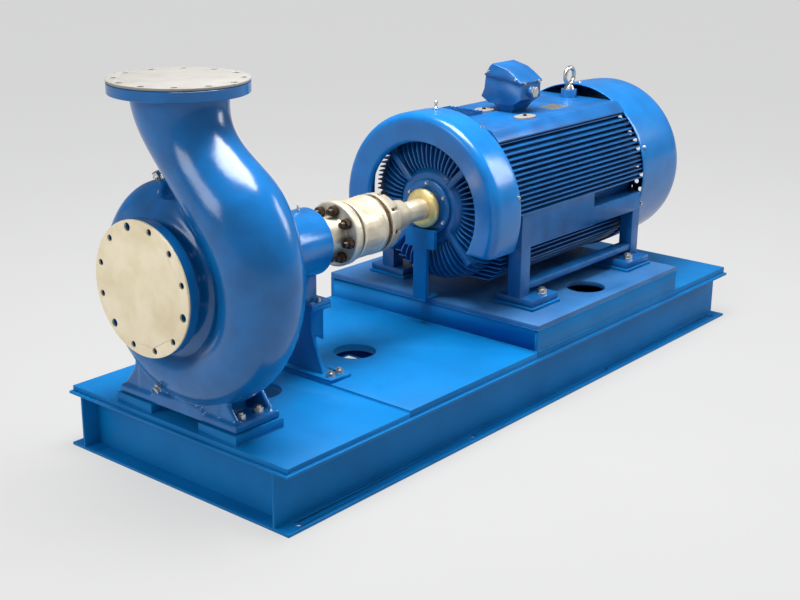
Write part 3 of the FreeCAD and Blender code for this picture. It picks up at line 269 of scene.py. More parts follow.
# Pale painted floor of the studio: matt, with hardly any mottle.
STUDIO_FLOOR = Finish("pale_studio_floor", "575757", "555555", Pattern.FIBRE, 40.0, 0.02, 0.9,
                      ior=1.2, mottle_mm=900.0)


# ---- mesh making --------------------------------------------------------------------------
WASHER_MM = (-0.5, 2.0)                # a washer's faces below and above its seat
HEAD_SHARE = 0.74                      # half a head's width, measured against its washer's radius
HEXAGON_STEPS = ((0.0, 1.0), (0.8, 1.0), (1.0, 0.86))  # shares of a head's height and width


def circle(centre: Vector, turn: Matrix, radius: float, count: int, rise: float = 0.0) -> Ring:
    """Return points round a circle.

    Args:
        centre: the point that the circle is set out from, in metres.
        turn: the turn that brings Z to the circle's axis.
        radius: its radius in metres.
        count: how many points go round.
        rise: how far along the axis it lies from the centre, in metres.

    Returns:
        The points in order.
    """
    angles = [math.tau * k / count for k in range(count)]
    return [centre + turn @ Vector((radius * math.cos(a), radius * math.sin(a), rise))
            for a in angles]


def axis_turn(axis: Vector) -> Matrix:
    """Return the turn that brings Z to an axis."""
    return axis.to_track_quat("Z", "Y").to_matrix()


def mesh_object(name: str, points: list, faces: list) -> bpy.types.Object:
    """Make an object from points and faces.

    Args:
        name: the piece's name.
        points: corner positions in metres.
        faces: tuples of point numbers.

    Returns:
        The new object, linked to the scene.
    """
    mesh = bpy.data.meshes.new(name)
    mesh.from_pydata([tuple(p) for p in points], [], faces)
    mesh.validate()
    made = bpy.data.objects.new(name, mesh)
    bpy.context.scene.collection.objects.link(made)
    return made


@dataclass
class Sheets:
    """Points and faces gathered from several closed forms, then made into one mesh."""

    points: list = field(default_factory=list)
    faces: list = field(default_factory=list)

    def loft(self, rings: list[Ring]) -> None:
        """Join rings of equal length into a closed form with a cap at each end.

        Args:
            rings: the cross-sections, each in the same order of points.
        """
        base, count = len(self.points), len(rings[0])
        for ring in rings:
            self.points += ring
        last = base + (len(rings) - 1) * count
        for first in range(base, last, count):
            for k in range(count):
                a, b = first + k, first + (k + 1) % count
                self.faces.append((a, b, b + count, a + count))
        self.faces.append(tuple(range(base + count - 1, base - 1, -1)))
        self.faces.append(tuple(range(last, last + count)))

    def lathe(self, profile: list, axis: str, centre: Vector, steps: int = 96) -> None:
        """Turn a closed profile about a line into a ring-shaped form.

        Args:
            profile: (along, radius) pairs in millimetres, going round the section.
            axis: "x" for the shaft's direction, "z" for upright.
            centre: a point on the line, in metres, at along = 0.
            steps: how many facets go round.
        """
        base, count = len(self.points), len(profile)
        for i in range(steps):
            c, s = math.cos(math.tau * i / steps), math.sin(math.tau * i / steps)
            for along, radius in profile:
                offset = (radius * c, radius * s, along)
                if axis == "x":
                    offset = (along, radius * c, radius * s)
                self.points.append(centre + Vector(offset) * MM)
        for i in range(steps):
            here, there = base + i * count, base + (i + 1) % steps * count
            for k in range(count):
                after = (k + 1) % count
                self.faces.append((here + k, here + after, there + after, there + k))

    def prism(self, outline: list, depth: Vector) -> None:
        """Push a flat outline along a direction into a closed form.

        Args:
            outline: corner positions in metres.
            depth: the way and the distance that it is pushed.
        """
        self.loft([[Vector(p) for p in outline], [Vector(p) + depth for p in outline]])

    def hexagon(self, at: Vector, axis: Vector, flat_mm: float, height_mm: float) -> None:
        """Add a chamfered hexagon head that stands on a point.

        Args:
            at: the middle of its seat.
            axis: the unit direction that it stands in.
            flat_mm: half the distance across its flats.
            height_mm: its height.
        """
        turn, full = axis_turn(axis), flat_mm * MM / math.cos(math.pi / 6)
        self.loft([circle(at, turn, full * width, 6, height_mm * MM * share)
                   for share, width in HEXAGON_STEPS])

    def screw(self, at: Vector, axis: Vector, radius_mm: float, height_mm: float) -> None:
        """Add a round washer with a hexagon head on it, both seated at a point.

        Args:
            at: the middle of the seat.
            axis: the unit direction that the head stands in.
            radius_mm: the washer's radius.
            height_mm: the head's height above the washer.
        """
        turn = axis_turn(axis)
        self.loft([circle(at, turn, radius_mm * MM, 24, face * MM) for face in WASHER_MM])
        self.hexagon(at + axis * WASHER_MM[1] * MM, axis, radius_mm * HEAD_SHARE, height_mm)

    def bead(self, start: Vector, end: Vector, radius_mm: float, ripple_mm: float = 7.0) -> None:
        """Add a weld bead: a thin rod whose ripples stand for the puddles of the weld.

        Args:
            start: one end of the seam.
            end: its other end.
            radius_mm: the bead's mean radius.
            ripple_mm: the pitch of the ripples, coarser than real so that they show.
        """
        run = end - start
        turn = axis_turn(run.normalized())
        count = max(4, int(run.length / (ripple_mm * MM)) * 2)
        rings = []
        for i in range(count + 1):
            swell = 1.0 if i % 2 else 0.72
            taper = 0.3 if i in (0, count) else 1.0
            rings.append(circle(start + run * (i / count), turn, radius_mm * MM * swell * taper, 8))
        self.loft(rings)

    def build(self, name: str) -> bpy.types.Object:
        """Make the gathered forms into one object of that name."""
        return mesh_object(name, self.points, self.faces)


def applied(piece: bpy.types.Object) -> bpy.types.Object:
    """Freeze an object's modifiers into its mesh.

    Args:
        piece: the object.

    Returns:
        The same object, without modifiers.
    """
    graph = bpy.context.evaluated_depsgraph_get()
    mesh = bpy.data.meshes.new_from_object(piece.evaluated_get(graph))
    piece.modifiers.clear()
    piece.data = mesh
    return piece


JOIN_MM = 0.02                         # points closer than this are one
SHARP_DEG = 32                         # edges that turn more than this are rounded


def soften(piece: bpy.types.Object, width_mm: float, weld: bool = True) -> None:
    """Round the sharp edges a little, so that each one catches a line of light.

    Args:
        piece: the object; its own mesh stays as it is.
        width_mm: how wide the rounding is; none at zero.
        weld: join doubled points first, as imported meshes need.
    """
    for face in piece.data.polygons:
        face.use_smooth = True
    if weld:
        join = piece.modifiers.new("join_points", "WELD")
        join.merge_threshold = JOIN_MM * MM
    if width_mm > 0:
        edge = piece.modifiers.new("soft_edges", "BEVEL")
        edge.width = width_mm * MM
        edge.segments = 2
        edge.limit_method = "ANGLE"
        edge.angle_limit = math.radians(SHARP_DEG)
        edge.harden_normals = True
        edge.use_clamp_overlap = True


def dress(piece: bpy.types.Object, finish: Finish) -> None:
    """Give a piece its finish in every material slot.

    Args:
        piece: the object.
        finish: what it is finished in.
    """
    if not piece.material_slots:
        piece.data.materials.append(finish.material())
    for place in piece.material_slots:
        place.material = finish.material()


@dataclass
class Assembly:
    """A sub-assembly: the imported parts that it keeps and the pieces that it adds."""

    body: str = "skid"
    made: list = field(default_factory=list)

    def keep(self, nodes: dict[str, tuple[Finish, float]]) -> None:
        """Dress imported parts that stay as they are.

        Args:
            nodes: for each part its finish and the width of its edge rounding in mm.
        """
        for name, (finish, edge_mm) in nodes.items():
            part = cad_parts[name]
            dress(part, finish)
            soften(part, edge_mm)
            self.made.append(name)

    def add(self, piece: bpy.types.Object, finish: Finish, slot: str, edge_mm: float = 0.0,
            body: str = "") -> bpy.types.Object:
        """Dress a new piece, round its edges and let it ride on its body.

        Args:
            piece: the new object.
            finish: what it is finished in.
            slot: the record's material slot; not used.
            edge_mm: the width of its edge rounding.
            body: the body that it rides on, this assembly's own by default.

        Returns:
            The same object.
        """
        dress(piece, finish)
        soften(piece, edge_mm, weld=False)
        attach(piece, body or self.body)
        self.made.append(piece.name)
        return piece

    def report(self) -> None:
        """Log every piece of the assembly."""
        for name in self.made:
            LOG.info("%s: %s", type(self).__name__, name)


# ---- pump ---------------------------------------------------------------------------------
@dataclass
class PumpCasing(Assembly):
    """Sand-cast volute with its swan neck, drum, feet and two machined flanges.

    Fields whose names end in _mm are in millimetres, and the others are in metres.
    """

    pump_x: float = -1.289                          # middle plane of the volute
    suction_face: float = -1.470
    discharge_face: float = 1.345
    deck_z: float = 0.227
    pad_t: float = 0.035                            # height of the foot pads on the deck
    base_circle_r: float = 0.207
    tube_r: Span = (0.057, 0.148)                   # at the tongue and at the neck
    sweep_deg: Span = (80.0, -222.0)
    neck_r: float = 0.157
    waist: float = 0.020                            # how much the neck draws in at its middle
    waist_end: float = 1.08                         # the waist ends at 1 / 1.08 of its length
    neck_lead: float = 0.150                        # how far the neck keeps the spiral's heading
    neck_drop: float = 0.130                        # how far below its end it heads straight up
    neck_end: float = 0.012                         # how far inside the discharge face it ends
    foot_x: Span = (-1.362, -1.165)
    foot_y: Span = (0.120, 0.285)
    foot_t: float = 0.030                           # bolting plate
    shin_half: float = 0.062
    shin_h: float = 0.110
    foot_rib_t: float = 0.018
    relax: float = 0.6                              # share of the way that smoothing moves a point
    apron: Place = (0.016, 0.125, 0.046)            # depth, half width and height between the feet
    flange_r_mm: float = 222.5
    flange_t_mm: float = 34.0
    flange_hub_mm: float = 184.0
    bores_mm: Span = (150, 143)                     # suction and discharge
    bolt_circle_r: float = 0.200
    bolt_hole_r: float = 0.011
    bolts: int = 12
    cover_face_x: float = -0.700
    cover_screw_circle: float = 0.084
    bracket_r: float = 0.122                        # bearing housing
    nipple_x: Span = (-0.985, -0.775)
    # The drum about the shaft, as (along, radius) from the middle plane: the suction nozzle, its
    # waist, the cone up to the rim and the land that the cover is bolted to.
    drum_mm: tuple[Span, ...] = (
        (-150, 20), (-150, 176), (-112, 176), (-104, 188), (-102, 212), (-92, 217),
        (-86, 226), (-70, 262), (-64, 265), (99, 265), (99, 20))

    def centre(self) -> Vector:
        """Return the point where the shaft line meets the volute's middle plane."""
        return Vector((self.pump_x, 0.0, SHAFT_Z))

    def ring(self, centre: Vector, heading: Vector, radius: float) -> Ring:
        """Return a circle of points square to its heading.

        Args:
            centre: its middle.
            heading: the unit direction along the tube, in the volute's plane.
            radius: its radius in metres.

        Returns:
            Its points in order.
        """
        up = heading.cross(TO_MOTOR)
        return [centre + (TO_MOTOR * math.cos(a) + up * math.sin(a)) * radius
                for a in (math.tau * k / 48 for k in range(48))]

    def spiral(self, share: float) -> tuple[Vector, Vector, float]:
        """Work out the spiral tube at one place.

        Args:
            share: how far round the sweep, from 0 to 1.

        Returns:
            The tube's centre, its heading and its radius there.
        """
        angle = math.radians(self.sweep_deg[0] + (self.sweep_deg[1] - self.sweep_deg[0]) * share)
        tube = self.tube_r[0] + (self.tube_r[1] - self.tube_r[0]) * share
        out = Vector((0.0, math.cos(angle), math.sin(angle)))
        heading = Vector((0.0, math.sin(angle), -math.cos(angle)))
        return self.centre() + out * (self.base_circle_r + tube), heading, tube

    def swan_neck(self, share: float) -> tuple[Vector, Vector, float]:
        """Work out the swan neck at one place, as a cubic curve from the spiral to the flange.

        Args:
            share: how far along the neck, from 0 to 1.

        Returns:
            The neck's centre, its heading and its radius there.
        """
        start, heading, tube = self.spiral(1.0)
        end = Vector((self.pump_x, 0.0, self.discharge_face - self.neck_end))
        out, back = start + heading * self.neck_lead, end - UP * self.neck_drop
        a, b = 1 - share, share
        place = start * a ** 3 + out * (3 * a * a * b) + back * (3 * a * b * b) + end * b ** 3
        slope = (out - start) * (a * a) + (back - out) * (2 * a * b) + (end - back) * (b * b)
        waist = self.waist * math.sin(math.pi * min(1.0, share * self.waist_end)) ** 2
        place.y += waist
        return place, slope.normalized(), tube + (self.neck_r - tube) * share - waist

    def tubes(self, form: Sheets) -> None:
        """Add the spiral and the neck to a form.

        Args:
            form: the form that gets them.
        """
        for line, steps in ((self.spiral, 100), (self.swan_neck, 40)):
            form.loft([self.ring(*line(i / steps)) for i in range(steps + 1)])

    def foot(self, form: Sheets, side: int) -> None:
        """Add one cast foot: bolting plate, shin and two ribs up into the volute.

        Args:
            form: the form that gets it.
            side: 1 for the far foot and -1 for the near one.
        """
        z0 = self.deck_z + self.pad_t
        (x0, x1), (y0, y1) = self.foot_x, self.foot_y

        def slab(low: Place, high: Place) -> None:
            """Add a block between two corners.

            Args:
                low: its corner nearest the pump's end, the shaft and the deck.
                high: the opposite corner.
            """
            outline = [(low[0], side * low[1], low[2]), (high[0], side * low[1], low[2]),
                       (high[0], side * high[1], low[2]), (low[0], side * high[1], low[2])]
            form.prism(outline[::side], UP * (high[2] - low[2]))

        slab((x0, y0, z0), (x1, y1, z0 + self.foot_t))
        slab((self.pump_x - self.shin_half, y0 - 0.030, z0),
             (self.pump_x + self.shin_half, y1 - 0.090, z0 + self.shin_h))
        rib = [(y0 - 0.06, z0), (y1 - 0.008, z0 + 0.029), (y1 - 0.06, z0 + 0.095),
               (y1 - 0.075, z0 + 0.16), (y0 - 0.06, z0 + 0.11)]
        for x in (x0 + 0.014, x1 - 0.032):
            form.prism([(x, side * y, z) for y, z in rib][::-side], TO_MOTOR * self.foot_rib_t)

    def skin(self, form: Sheets, name: str, voxel_mm: float, rounds: int) -> bpy.types.Object:
        """Merge overlapping forms into one skin and soften its corners as a casting's.

        Args:
            form: the overlapping closed forms.
            name: the piece's name.
            voxel_mm: the size of the merging grid.
            rounds: how many times the skin is smoothed.

        Returns:
            The merged object.
        """
        piece = form.build(name)
        merge = piece.modifiers.new("merge", "REMESH")
        merge.mode = "VOXEL"
        merge.voxel_size = voxel_mm * MM
        merge.use_smooth_shade = True
        relax = piece.modifiers.new("fillets", "SMOOTH")
        relax.factor = self.relax
        relax.iterations = rounds
        return applied(piece)

    def flange(self, name: str, axis: str) -> None:
        """Add a machined flange ring with its twelve bolt holes.

        Args:
            name: the piece's name.
            axis: "x" for the suction side, "z" for the discharge side.
        """
        way, inner, away = UP, self.bores_mm[1], -1
        centre = Vector((self.pump_x, 0, self.discharge_face))
        if axis == "x":
            way, inner, away = TO_MOTOR, self.bores_mm[0], 1
            centre = Vector((self.suction_face, 0, SHAFT_Z))
        rim, thick, hub = self.flange_r_mm, self.flange_t_mm, self.flange_hub_mm
        profile = [(0, inner), (0, rim - 1.5), (1.5, rim), (thick - 2, rim), (thick, rim - 2),
                   (thick, hub), (thick + 6, inner + 22), (thick + 6, inner)]
        form, drills = Sheets(), Sheets()
        form.lathe([(away * a, r) for a, r in profile], axis, centre)
        ring = form.build(name)
        for i in range(self.bolts):
            a = math.tau * (i + 0.5) / self.bolts
            c, s = self.bolt_circle_r * math.cos(a), self.bolt_circle_r * math.sin(a)
            spot = centre + (Vector((0, c, s)) if axis == "x" else Vector((c, s, 0)))
            drills.loft([circle(spot, axis_turn(way), self.bolt_hole_r, 24, rise)
                         for rise in (-0.06, 0.06)])
        cutter = drills.build(name + "_drills")
        cut = ring.modifiers.new("bolt_holes", "BOOLEAN")
        cut.object = cutter
        cut.solver = "EXACT"
        applied(ring)
        bpy.data.objects.remove(cutter)
        self.add(ring, CAST_ENAMEL, "blue_paint", 1.5)
        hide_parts("volute_casing")

    def casting(self) -> None:
        """Build the volute, drum, neck and feet as one blended casting."""
        body = Sheets()
        self.tubes(body)
        body.lathe(list(self.drum_mm), "x", self.centre())
        blended = self.skin(body, "volute_body", voxel_mm=6.0, rounds=26)
        outside = Sheets([Vector(v.co) for v in blended.data.vertices],
                         [tuple(face.vertices) for face in blended.data.polygons])
        bpy.data.objects.remove(blended)
        for side in (1, -1):
            self.foot(outside, side)
        x0, z0 = self.foot_x[0], self.deck_z + self.pad_t
        depth, half, height = self.apron
        outside.prism([(x0, -half, z0), (x0 + depth, -half, z0), (x0 + depth, half, z0),
                       (x0, half, z0)], UP * height)
        skin = self.skin(outside, "volute_casting", voxel_mm=4.5, rounds=6)
        self.add(skin, CAST_ENAMEL, "blue_paint", 0.0)
        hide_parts("volute_casing")

    def fittings(self) -> None:
        """Add the bearing cover's screws and the two grease nipples."""
        screws = Sheets()
        for i in range(6):
            a = math.radians(30 + 60 * i)
            c, s = self.cover_screw_circle * math.cos(a), self.cover_screw_circle * math.sin(a)
            screws.screw(Vector((self.cover_face_x, c, SHAFT_Z + s)), TO_MOTOR, 7.5, 5)
        self.add(screws.build("bearing_cover_screws"), ZINC_PLATE, "bright_fasteners", 0.5)
        nipple = Sheets()
        top = SHAFT_Z + self.bracket_r
        profile = [(6, 0.1), (6, 4), (12, 4), (14, 3), (16, 4.5), (19, 4.5), (22, 2), (22, 0.1)]
        for x in self.nipple_x:
            nipple.hexagon(Vector((x, 0, top - 0.001)), UP, 7, 7)
            nipple.lathe(profile, "z", Vector((x, 0, top)), 24)
        self.add(nipple.build("bearing_grease_nipples"), ZINC_PLATE, "bright_fasteners", 0.3)

    def build(self) -> None:
        """Build the casting, its flanges and the small hardware, and dress the kept parts."""
        self.casting()
        self.flange("suction_flange_ring", "x")
        self.flange("discharge_flange_ring", "z")
        self.keep({"casing_plugs": (ZINC_PLATE, 0.8), "casing_cover": (CAST_ENAMEL, 2.0),
                   "casing_cover_studs": (ZINC_PLATE, 0.8),
                   "casing_wear_rings": (GROUND_BRONZE, 0.4),
                   "suction_blank_plate": (CREAM_PRIMER, 1.0),
                   "discharge_blank_plate": (WHITE_PRIMER, 1.0),
                   "flange_gaskets": (GASKET_FIBRE, 0.3), "seal_gland": (BARE_IRON, 1.0),
                   "bearing_bracket": (CAST_ENAMEL, 2.5), "bearing_cover_inner": (CAST_ENAMEL, 1.5),
                   "bearing_cover_outer": (CAST_ENAMEL, 2.0),
                   "pump_bearing_outer_rings": (BEARING_STEEL, 0.4),
                   "casing_foot_bolts": (ZINC_PLATE, 0.8), "pedestal_bolts": (ZINC_PLATE, 0.8)})
        self.fittings()


@dataclass
class PumpRotor(Assembly):
    """Impeller, shaft and hub that turn in the pump."""

    body: str = "pump_rotor"

    def build(self) -> None:
        """Dress the rotor's parts."""
        self.keep({"impeller": (BARE_IRON, 0.8), "impeller_nut": (ZINC_PLATE, 0.8),
                   "pump_shaft": (TURNED_STEEL, 0.6), "pump_shaft_keys": (TURNED_STEEL, 0.4),
                   "shaft_sleeve": (GROUND_BRONZE, 0.6),
                   "pump_bearing_inner_rings": (BEARING_STEEL, 0.0),
                   "pump_coupling_hub": (OILED_STEEL, 1.0)})


@dataclass
class Coupling(Assembly):
    """Spacer coupling: turned drum, two disc packs and their bolts."""

    body: str = "coupling"

    def build(self) -> None:
        """Dress the coupling's parts."""
        self.keep({"coupling_spacer": (TURNED_STEEL, 1.2),
                   "coupling_disc_packs": (SPRING_STEEL, 0.4),
                   "coupling_bolts": (BLACK_OXIDE, 0.8)})


# ---- motor --------------------------------------------------------------------------------
@dataclass
class MotorRotor(Assembly):
    """Motor shaft with its core, fan, flinger ring and coupling hub."""

    body: str = "motor_rotor"

    def build(self) -> None:
        """Dress the rotor's parts."""
        self.keep({"motor_shaft": (TURNED_STEEL, 0.8), "motor_shaft_key": (TURNED_STEEL, 0.4),
                   "motor_coupling_hub": (TURNED_STEEL, 1.0), "shaft_flinger": (TURNED_BRASS, 0.8),
                   "rotor_core": (LAMINATION, 0.5), "motor_fan": (FAN_POLYMER, 0.5),
                   "motor_bearing_inner_rings": (BEARING_STEEL, 0.0)})


@dataclass
class Motor(Assembly):
    """Finned motor with its hood, fan cowl, feet, terminal box and lifting eye."""

    roof_z: float = 1.026
    cowl_r: float = 0.362
    cowl_screw_x: float = 1.000
    hood_r: float = 0.376
    hood_screw_x: float = 0.036
    cap_face_x: float = -0.060
    cap_screw_r: float = 0.097
    rib_x: Span = (0.062, 0.330)
    rib_y: float = 0.030
    ribs: int = 10
    lid_end_x: float = 0.404
    lid_side_y: float = -0.102

    def round_the_shaft(self, x: float, radius: float, degrees: list[float]) -> list:
        """Return (place, outward direction) pairs on a circle about the shaft.

        Args:
            x: where the circle lies along the shaft.
            radius: its radius in metres.
            degrees: angles from +Y towards +Z.

        Returns:
            One pair for each angle.
        """
        spots = []
        for angle in degrees:
            out = Vector((0, math.cos(math.radians(angle)), math.sin(math.radians(angle))))
            spots.append((Vector((x, 0, SHAFT_Z)) + out * radius, out))
        return spots

    def cover_screws(self) -> None:
        """Add the screws round the fan cowl, the hood and the bearing cap."""
        screws = Sheets()
        for place, out in self.round_the_shaft(self.cowl_screw_x, self.cowl_r,
                                               [20, 90, 160, 200, 340]):
            screws.screw(place, out, 8, 5)
        for place, out in self.round_the_shaft(self.hood_screw_x, self.hood_r - 0.002,
                                               [12, 60, 120, 168]):
            screws.screw(place, out, 7, 5)
        for place, _ in self.round_the_shaft(self.cap_face_x, self.cap_screw_r,
                                             [30, 90, 150, 210, 270, 330]):
            screws.screw(place, TO_PUMP, 8, 7)
        self.add(screws.build("motor_cover_screws"), ZINC_PLATE, "bright_fasteners", 0.4)

    def roof_fittings(self) -> None:
        """Add the roof's screwed pads, the hood's grease nipple and the roof's ribs."""
        pads, pad_screws = Sheets(), Sheets()
        low, pad_t = self.roof_z - 0.001, 0.009
        for x, y in ((0.385, 0.064), (0.370, -0.150), (0.600, 0.060)):
            ring = [Vector((x + 0.056 * math.cos(a), y + 0.036 * math.sin(a), low))
                    for a in (math.tau * k / 32 for k in range(32))]
            pads.loft([ring, [point + UP * pad_t for point in ring]])
            pad_screws.screw(Vector((x, y, low + pad_t)), UP, 8, 6)
        # The pads take the white primer held down to grey: painted shade, as they lie flat under
        # the softbox.
        self.add(pads.build("roof_pads"), WHITE_PRIMER, "cream_paint", 1.5)
        self.add(pad_screws.build("roof_pad_screws"), BLACK_OXIDE, "dark_nuts", 0.5)

        nipple = Sheets()
        nipple.lathe([(0, 0.1), (0, 9), (10, 9), (14, 5), (24, 5), (27, 7), (34, 7), (38, 3),
                      (38, 0.1)], "z", Vector((-0.012, 0, SHAFT_Z + self.hood_r - 0.003)), 32)
        self.add(nipple.build("hood_grease_nipple"), ZINC_PLATE, "bright_fasteners", 0.4)

        ribs = Sheets()
        pitch, rib_t, height = 0.018, 0.004, 0.016
        (x0, x1), z = self.rib_x, self.roof_z - 0.002
        for k in range(self.ribs):
            y = self.rib_y + pitch * k
            ribs.prism([(x0, y, z), (x1, y, z), (x1, y + rib_t, z), (x0, y + rib_t, z)],
                       UP * height)
        self.add(ribs.build("roof_ribs"), MOTOR_ENAMEL, "blue_paint", 0.8)

    def terminal_fittings(self) -> None:
        """Add the terminal lid's screws and the plug of its unused cable entry."""
        lid = Sheets()
        for y, z in ((-0.075, 1.165), (0.060, 1.186)):
            lid.screw(Vector((self.lid_end_x, y, z)), TO_PUMP, 6, 4)
        for x in (0.430, 0.530):
            lid.screw(Vector((x, self.lid_side_y, 1.150)), TO_NEAR_SIDE, 6, 4)
        self.add(lid.build("terminal_lid_screws"), ZINC_PLATE, "bright_fasteners", 0.4)

        gland = Sheets()
        gland.hexagon(Vector((0.480, -0.112, 1.112)), TO_NEAR_SIDE, 21, 12)
        self.add(gland.build("cable_gland_plug"), ZINC_PLATE, "bright_fasteners", 1.0)

    def build(self) -> None:
        """Dress the motor's parts and add its small hardware."""
        self.keep({"stator_core": (LAMINATION, 0.5), "end_windings": (WINDING, 2.0),
                   "motor_bearing_outer_rings": (BEARING_STEEL, 0.4),
                   "motor_frame": (MOTOR_ENAMEL, 1.0), "drive_end_shield": (MOTOR_ENAMEL, 1.0),
                   "drive_bearing_cap": (MOTOR_ENAMEL, 1.2), "drive_end_hood": (SHEET_ENAMEL, 0.8),
                   "rear_end_shield": (MOTOR_ENAMEL, 1.5), "fan_cowl": (SHEET_ENAMEL, 0.8),
                   "motor_feet": (MOTOR_ENAMEL, 1.6), "motor_foot_bolts": (ZINC_PLATE, 0.8),
                   "terminal_box": (MOTOR_ENAMEL, 3.0), "terminal_box_lid": (MOTOR_ENAMEL, 4.0),
                   "lifting_eye": (ZINC_PLATE, 0.6), "rating_plate": (ETCHED_PLATE, 0.2)})
        self.cover_screws()
        self.roof_fittings()
        self.terminal_fittings()


# ---- base ---------------------------------------------------------------------------------
@dataclass
class BaseFrame(Assembly):
    """Welded beams, decks, plinth, guard post and pedestal, with their weld beads."""

    half_w: float = 0.530
    x: Span = (-1.380, 1.470)
    plinth_x: Span = (-0.040, 1.010)
    beam_z: float = 0.207                           # top of the beams
    pump_deck_z: float = 0.227
    deck_z: float = 0.235                           # top of the middle and rear decks
    plinth_z: float = 0.340
    top_plate_t: float = 0.020
    deck_joint_x: float = -0.792
    pedestal_x: Span = (-0.790, -0.684)
    pedestal_y: Span = (-0.165, 0.165)
    guard_x: float = -0.088
    guard_y: Span = (-0.022, 0.042)
    pad_x: Span = (-1.370, -1.157)
    pad_y: tuple[Span, Span] = ((-0.293, -0.116), (0.116, 0.293))

    def seams(self) -> None:
        """Lay the weld beads along the plates' edges and round the stands."""
        beads = Sheets()

        def along(span: Span, y: float, z: float, radius_mm: float) -> None:
            """Lay a bead between two places along the base."""
            beads.bead(Vector((span[0], y, z)), Vector((span[1], y, z)), radius_mm)

        def across(x: float, span: Span, z: float, radius_mm: float) -> None:
            """Lay a bead between two places across the base."""
            beads.bead(Vector((x, span[0], z)), Vector((x, span[1], z)), radius_mm)

        width = (-self.half_w, self.half_w)
        under_top = self.plinth_z - self.top_plate_t
        for y in width:
            along(self.x, y, self.beam_z, 3.0)
            along(self.plinth_x, y, under_top, 2.4)
            along(self.plinth_x, y, self.deck_z, 3.0)
        for x in self.plinth_x:
            across(x, width, self.deck_z, 3.4)
            across(x, width, under_top, 2.4)
        across(self.deck_joint_x, width, self.pump_deck_z, 3.4)
        for x in self.pedestal_x:
            across(x, self.pedestal_y, self.deck_z, 3.0)
        across(self.guard_x, self.guard_y, self.plinth_z, 2.6)
        for sides in self.pad_y:
            for y in sides:
                along(self.pad_x, y, self.pump_deck_z, 3.0)
            across(self.pad_x[0], sides, self.pump_deck_z, 3.0)
        self.add(beads.build("weld_beads"), PLATE_ENAMEL, "blue_paint", 0.0)

    def build(self) -> None:
        """Dress the beams, plates and stands and lay the welds."""
        plates = ["long_beam_near", "long_beam_far", "end_beams", "cross_beams", "pump_deck_plate",
                  "middle_deck_plate", "rear_deck_plate", "plinth_walls", "casing_foot_pads",
                  "motor_foot_packers", "guard_post", "bearing_pedestal"]
        self.keep({name: (PLATE_ENAMEL, 1.6) for name in plates})
        self.keep({"plinth_top_plate": (THIN_ENAMEL, 1.6)})
        self.seams()


# ---- studio -------------------------------------------------------------------------------
@dataclass(frozen=True)
class Panel:
    """One soft light panel: where it stands, what it faces, its size in metres and its power."""

    name: str
    at: Place
    aim: Place
    size: Span
    watts: float

    def build(self) -> None:
        """Add the panel's lamp to the scene."""
        data = bpy.data.lights.new(self.name, "AREA")
        data.shape = "RECTANGLE"
        data.size, data.size_y = self.size
        data.energy = self.watts
        light = bpy.data.objects.new(self.name, data)
        bpy.context.scene.collection.objects.link(light)
        turn = (Vector(self.aim) - Vector(self.at)).to_track_quat("-Z", "Y").to_matrix()
        light.matrix_world = Matrix.Translation(self.at) @ turn.to_4x4()


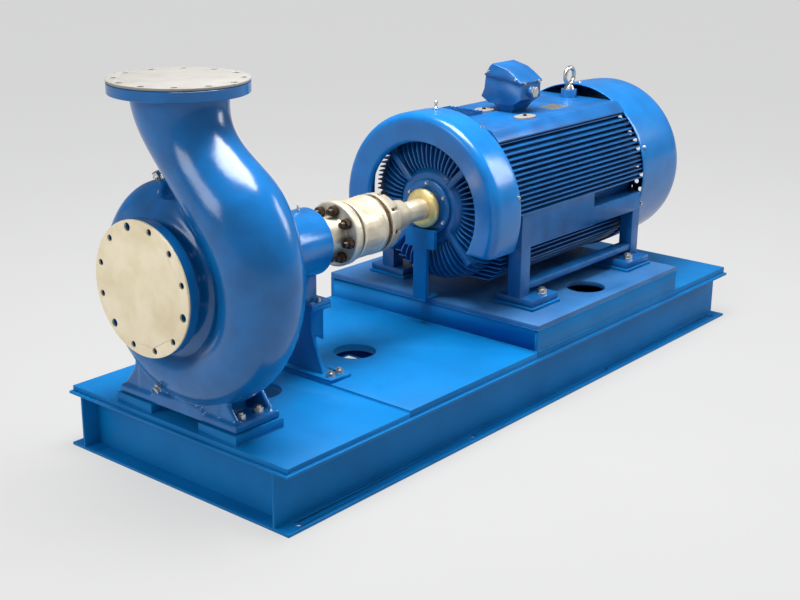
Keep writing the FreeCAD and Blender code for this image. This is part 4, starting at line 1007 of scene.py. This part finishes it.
@dataclass
class Studio:
    """Pale floor, soft lights and the camera."""

    camera_at: Place = (-4.0256, -3.1809, 1.9847)
    heading_deg: float = 39.8716
    pitch_deg: float = 17.9946
    roll_deg: float = 0.46366
    lens_mm: float = 60.407
    sensor_mm: float = 36.0
    floor_half: float = 30.0
    floor_z: Span = (-0.0200, -0.0005)
    floor_glow: float = 0.62
    hall_colour: tuple[float, float, float, float] = (0.93, 0.96, 1.0, 1.0)
    hall_strength: Span = (0.42, 0.22)              # for plain light and for gloss
    panels: tuple[Panel, ...] = (
        Panel("overhead_softbox", (-0.4, -0.3, 4.4), (-0.2, 0, 0.6), (2.8, 2.2), 390),
        Panel("window_left", (3.95, -2.35, 2.9), (0, 0, 0.8), (0.42, 1.9), 34),
        Panel("window_right", (3.62, -2.95, 2.9), (0, 0, 0.8), (0.42, 1.9), 34),
        Panel("front_fill", (-5.2, 1.2, 2.6), (-1.2, 0, 0.8), (2.2, 1.8), 70))

    def world(self) -> None:
        """Pale surroundings, darker where gloss mirrors them, as a hall is behind the lights."""
        world = bpy.data.worlds.new("studio")
        bpy.context.scene.world = world
        world.use_nodes = True
        tree = world.node_tree
        path = add_node(tree, "ShaderNodeLightPath", {}, {})
        strength = add_node(tree, "ShaderNodeMapRange",
                            {"To Min": self.hall_strength[0], "To Max": self.hall_strength[1]},
                            {"Value": path.outputs["Is Glossy Ray"]})
        back = tree.nodes["Background"]
        back.inputs["Color"].default_value = self.hall_colour
        tree.links.new(strength.outputs[0], back.inputs["Strength"])

    def floor(self) -> None:
        """Lay the pale floor, just below the beams so that the two don't flicker together."""
        form, (low, high), half = Sheets(), self.floor_z, self.floor_half
        form.prism([(-half, -half, low), (half, -half, low), (half, half, low), (-half, half, low)],
                   UP * (high - low))
        ground = form.build("studio_floor")
        dress(ground, STUDIO_FLOOR)
        shader = ground.active_material.node_tree.nodes["Principled BSDF"]
        shader.inputs["Emission Color"].default_value = (1.0, 1.0, 1.0, 1.0)
        shader.inputs["Emission Strength"].default_value = self.floor_glow

    def camera(self) -> None:
        """Stand the camera a little above a person's eye height, off the suction end."""
        h, p, r = (math.radians(a) for a in (self.heading_deg, self.pitch_deg, self.roll_deg))
        forward = Vector((math.cos(p) * math.cos(h), math.cos(p) * math.sin(h), -math.sin(p)))
        right = Vector((math.sin(h), -math.cos(h), 0.0))
        up = right.cross(forward)
        right, up = right * math.cos(r) + up * math.sin(r), up * math.cos(r) - right * math.sin(r)
        data = bpy.data.cameras.new("studio_camera")
        data.lens = self.lens_mm
        data.sensor_width = self.sensor_mm
        eye = bpy.data.objects.new("studio_camera", data)
        bpy.context.scene.collection.objects.link(eye)
        turn = Matrix((right, up, -forward)).transposed()
        eye.matrix_world = Matrix.Translation(self.camera_at) @ turn.to_4x4()
        bpy.context.scene.camera = eye

    def build(self) -> None:
        """Set up the whole studio."""
        bpy.context.scene.view_settings.view_transform = "Standard"
        self.camera()
        self.world()
        self.floor()
        for panel in self.panels:
            panel.build()


def main() -> None:
    """Build the studio and every sub-assembly in order, and report the pieces."""
    logging.basicConfig(level=logging.INFO, format="%(message)s")
    Studio().build()
    for part in (BaseFrame(), PumpCasing(), PumpRotor(), Coupling(), MotorRotor(), Motor()):
        part.build()
        part.report()
    bpy.context.view_layer.update()


if __name__ == "__main__":
    main()
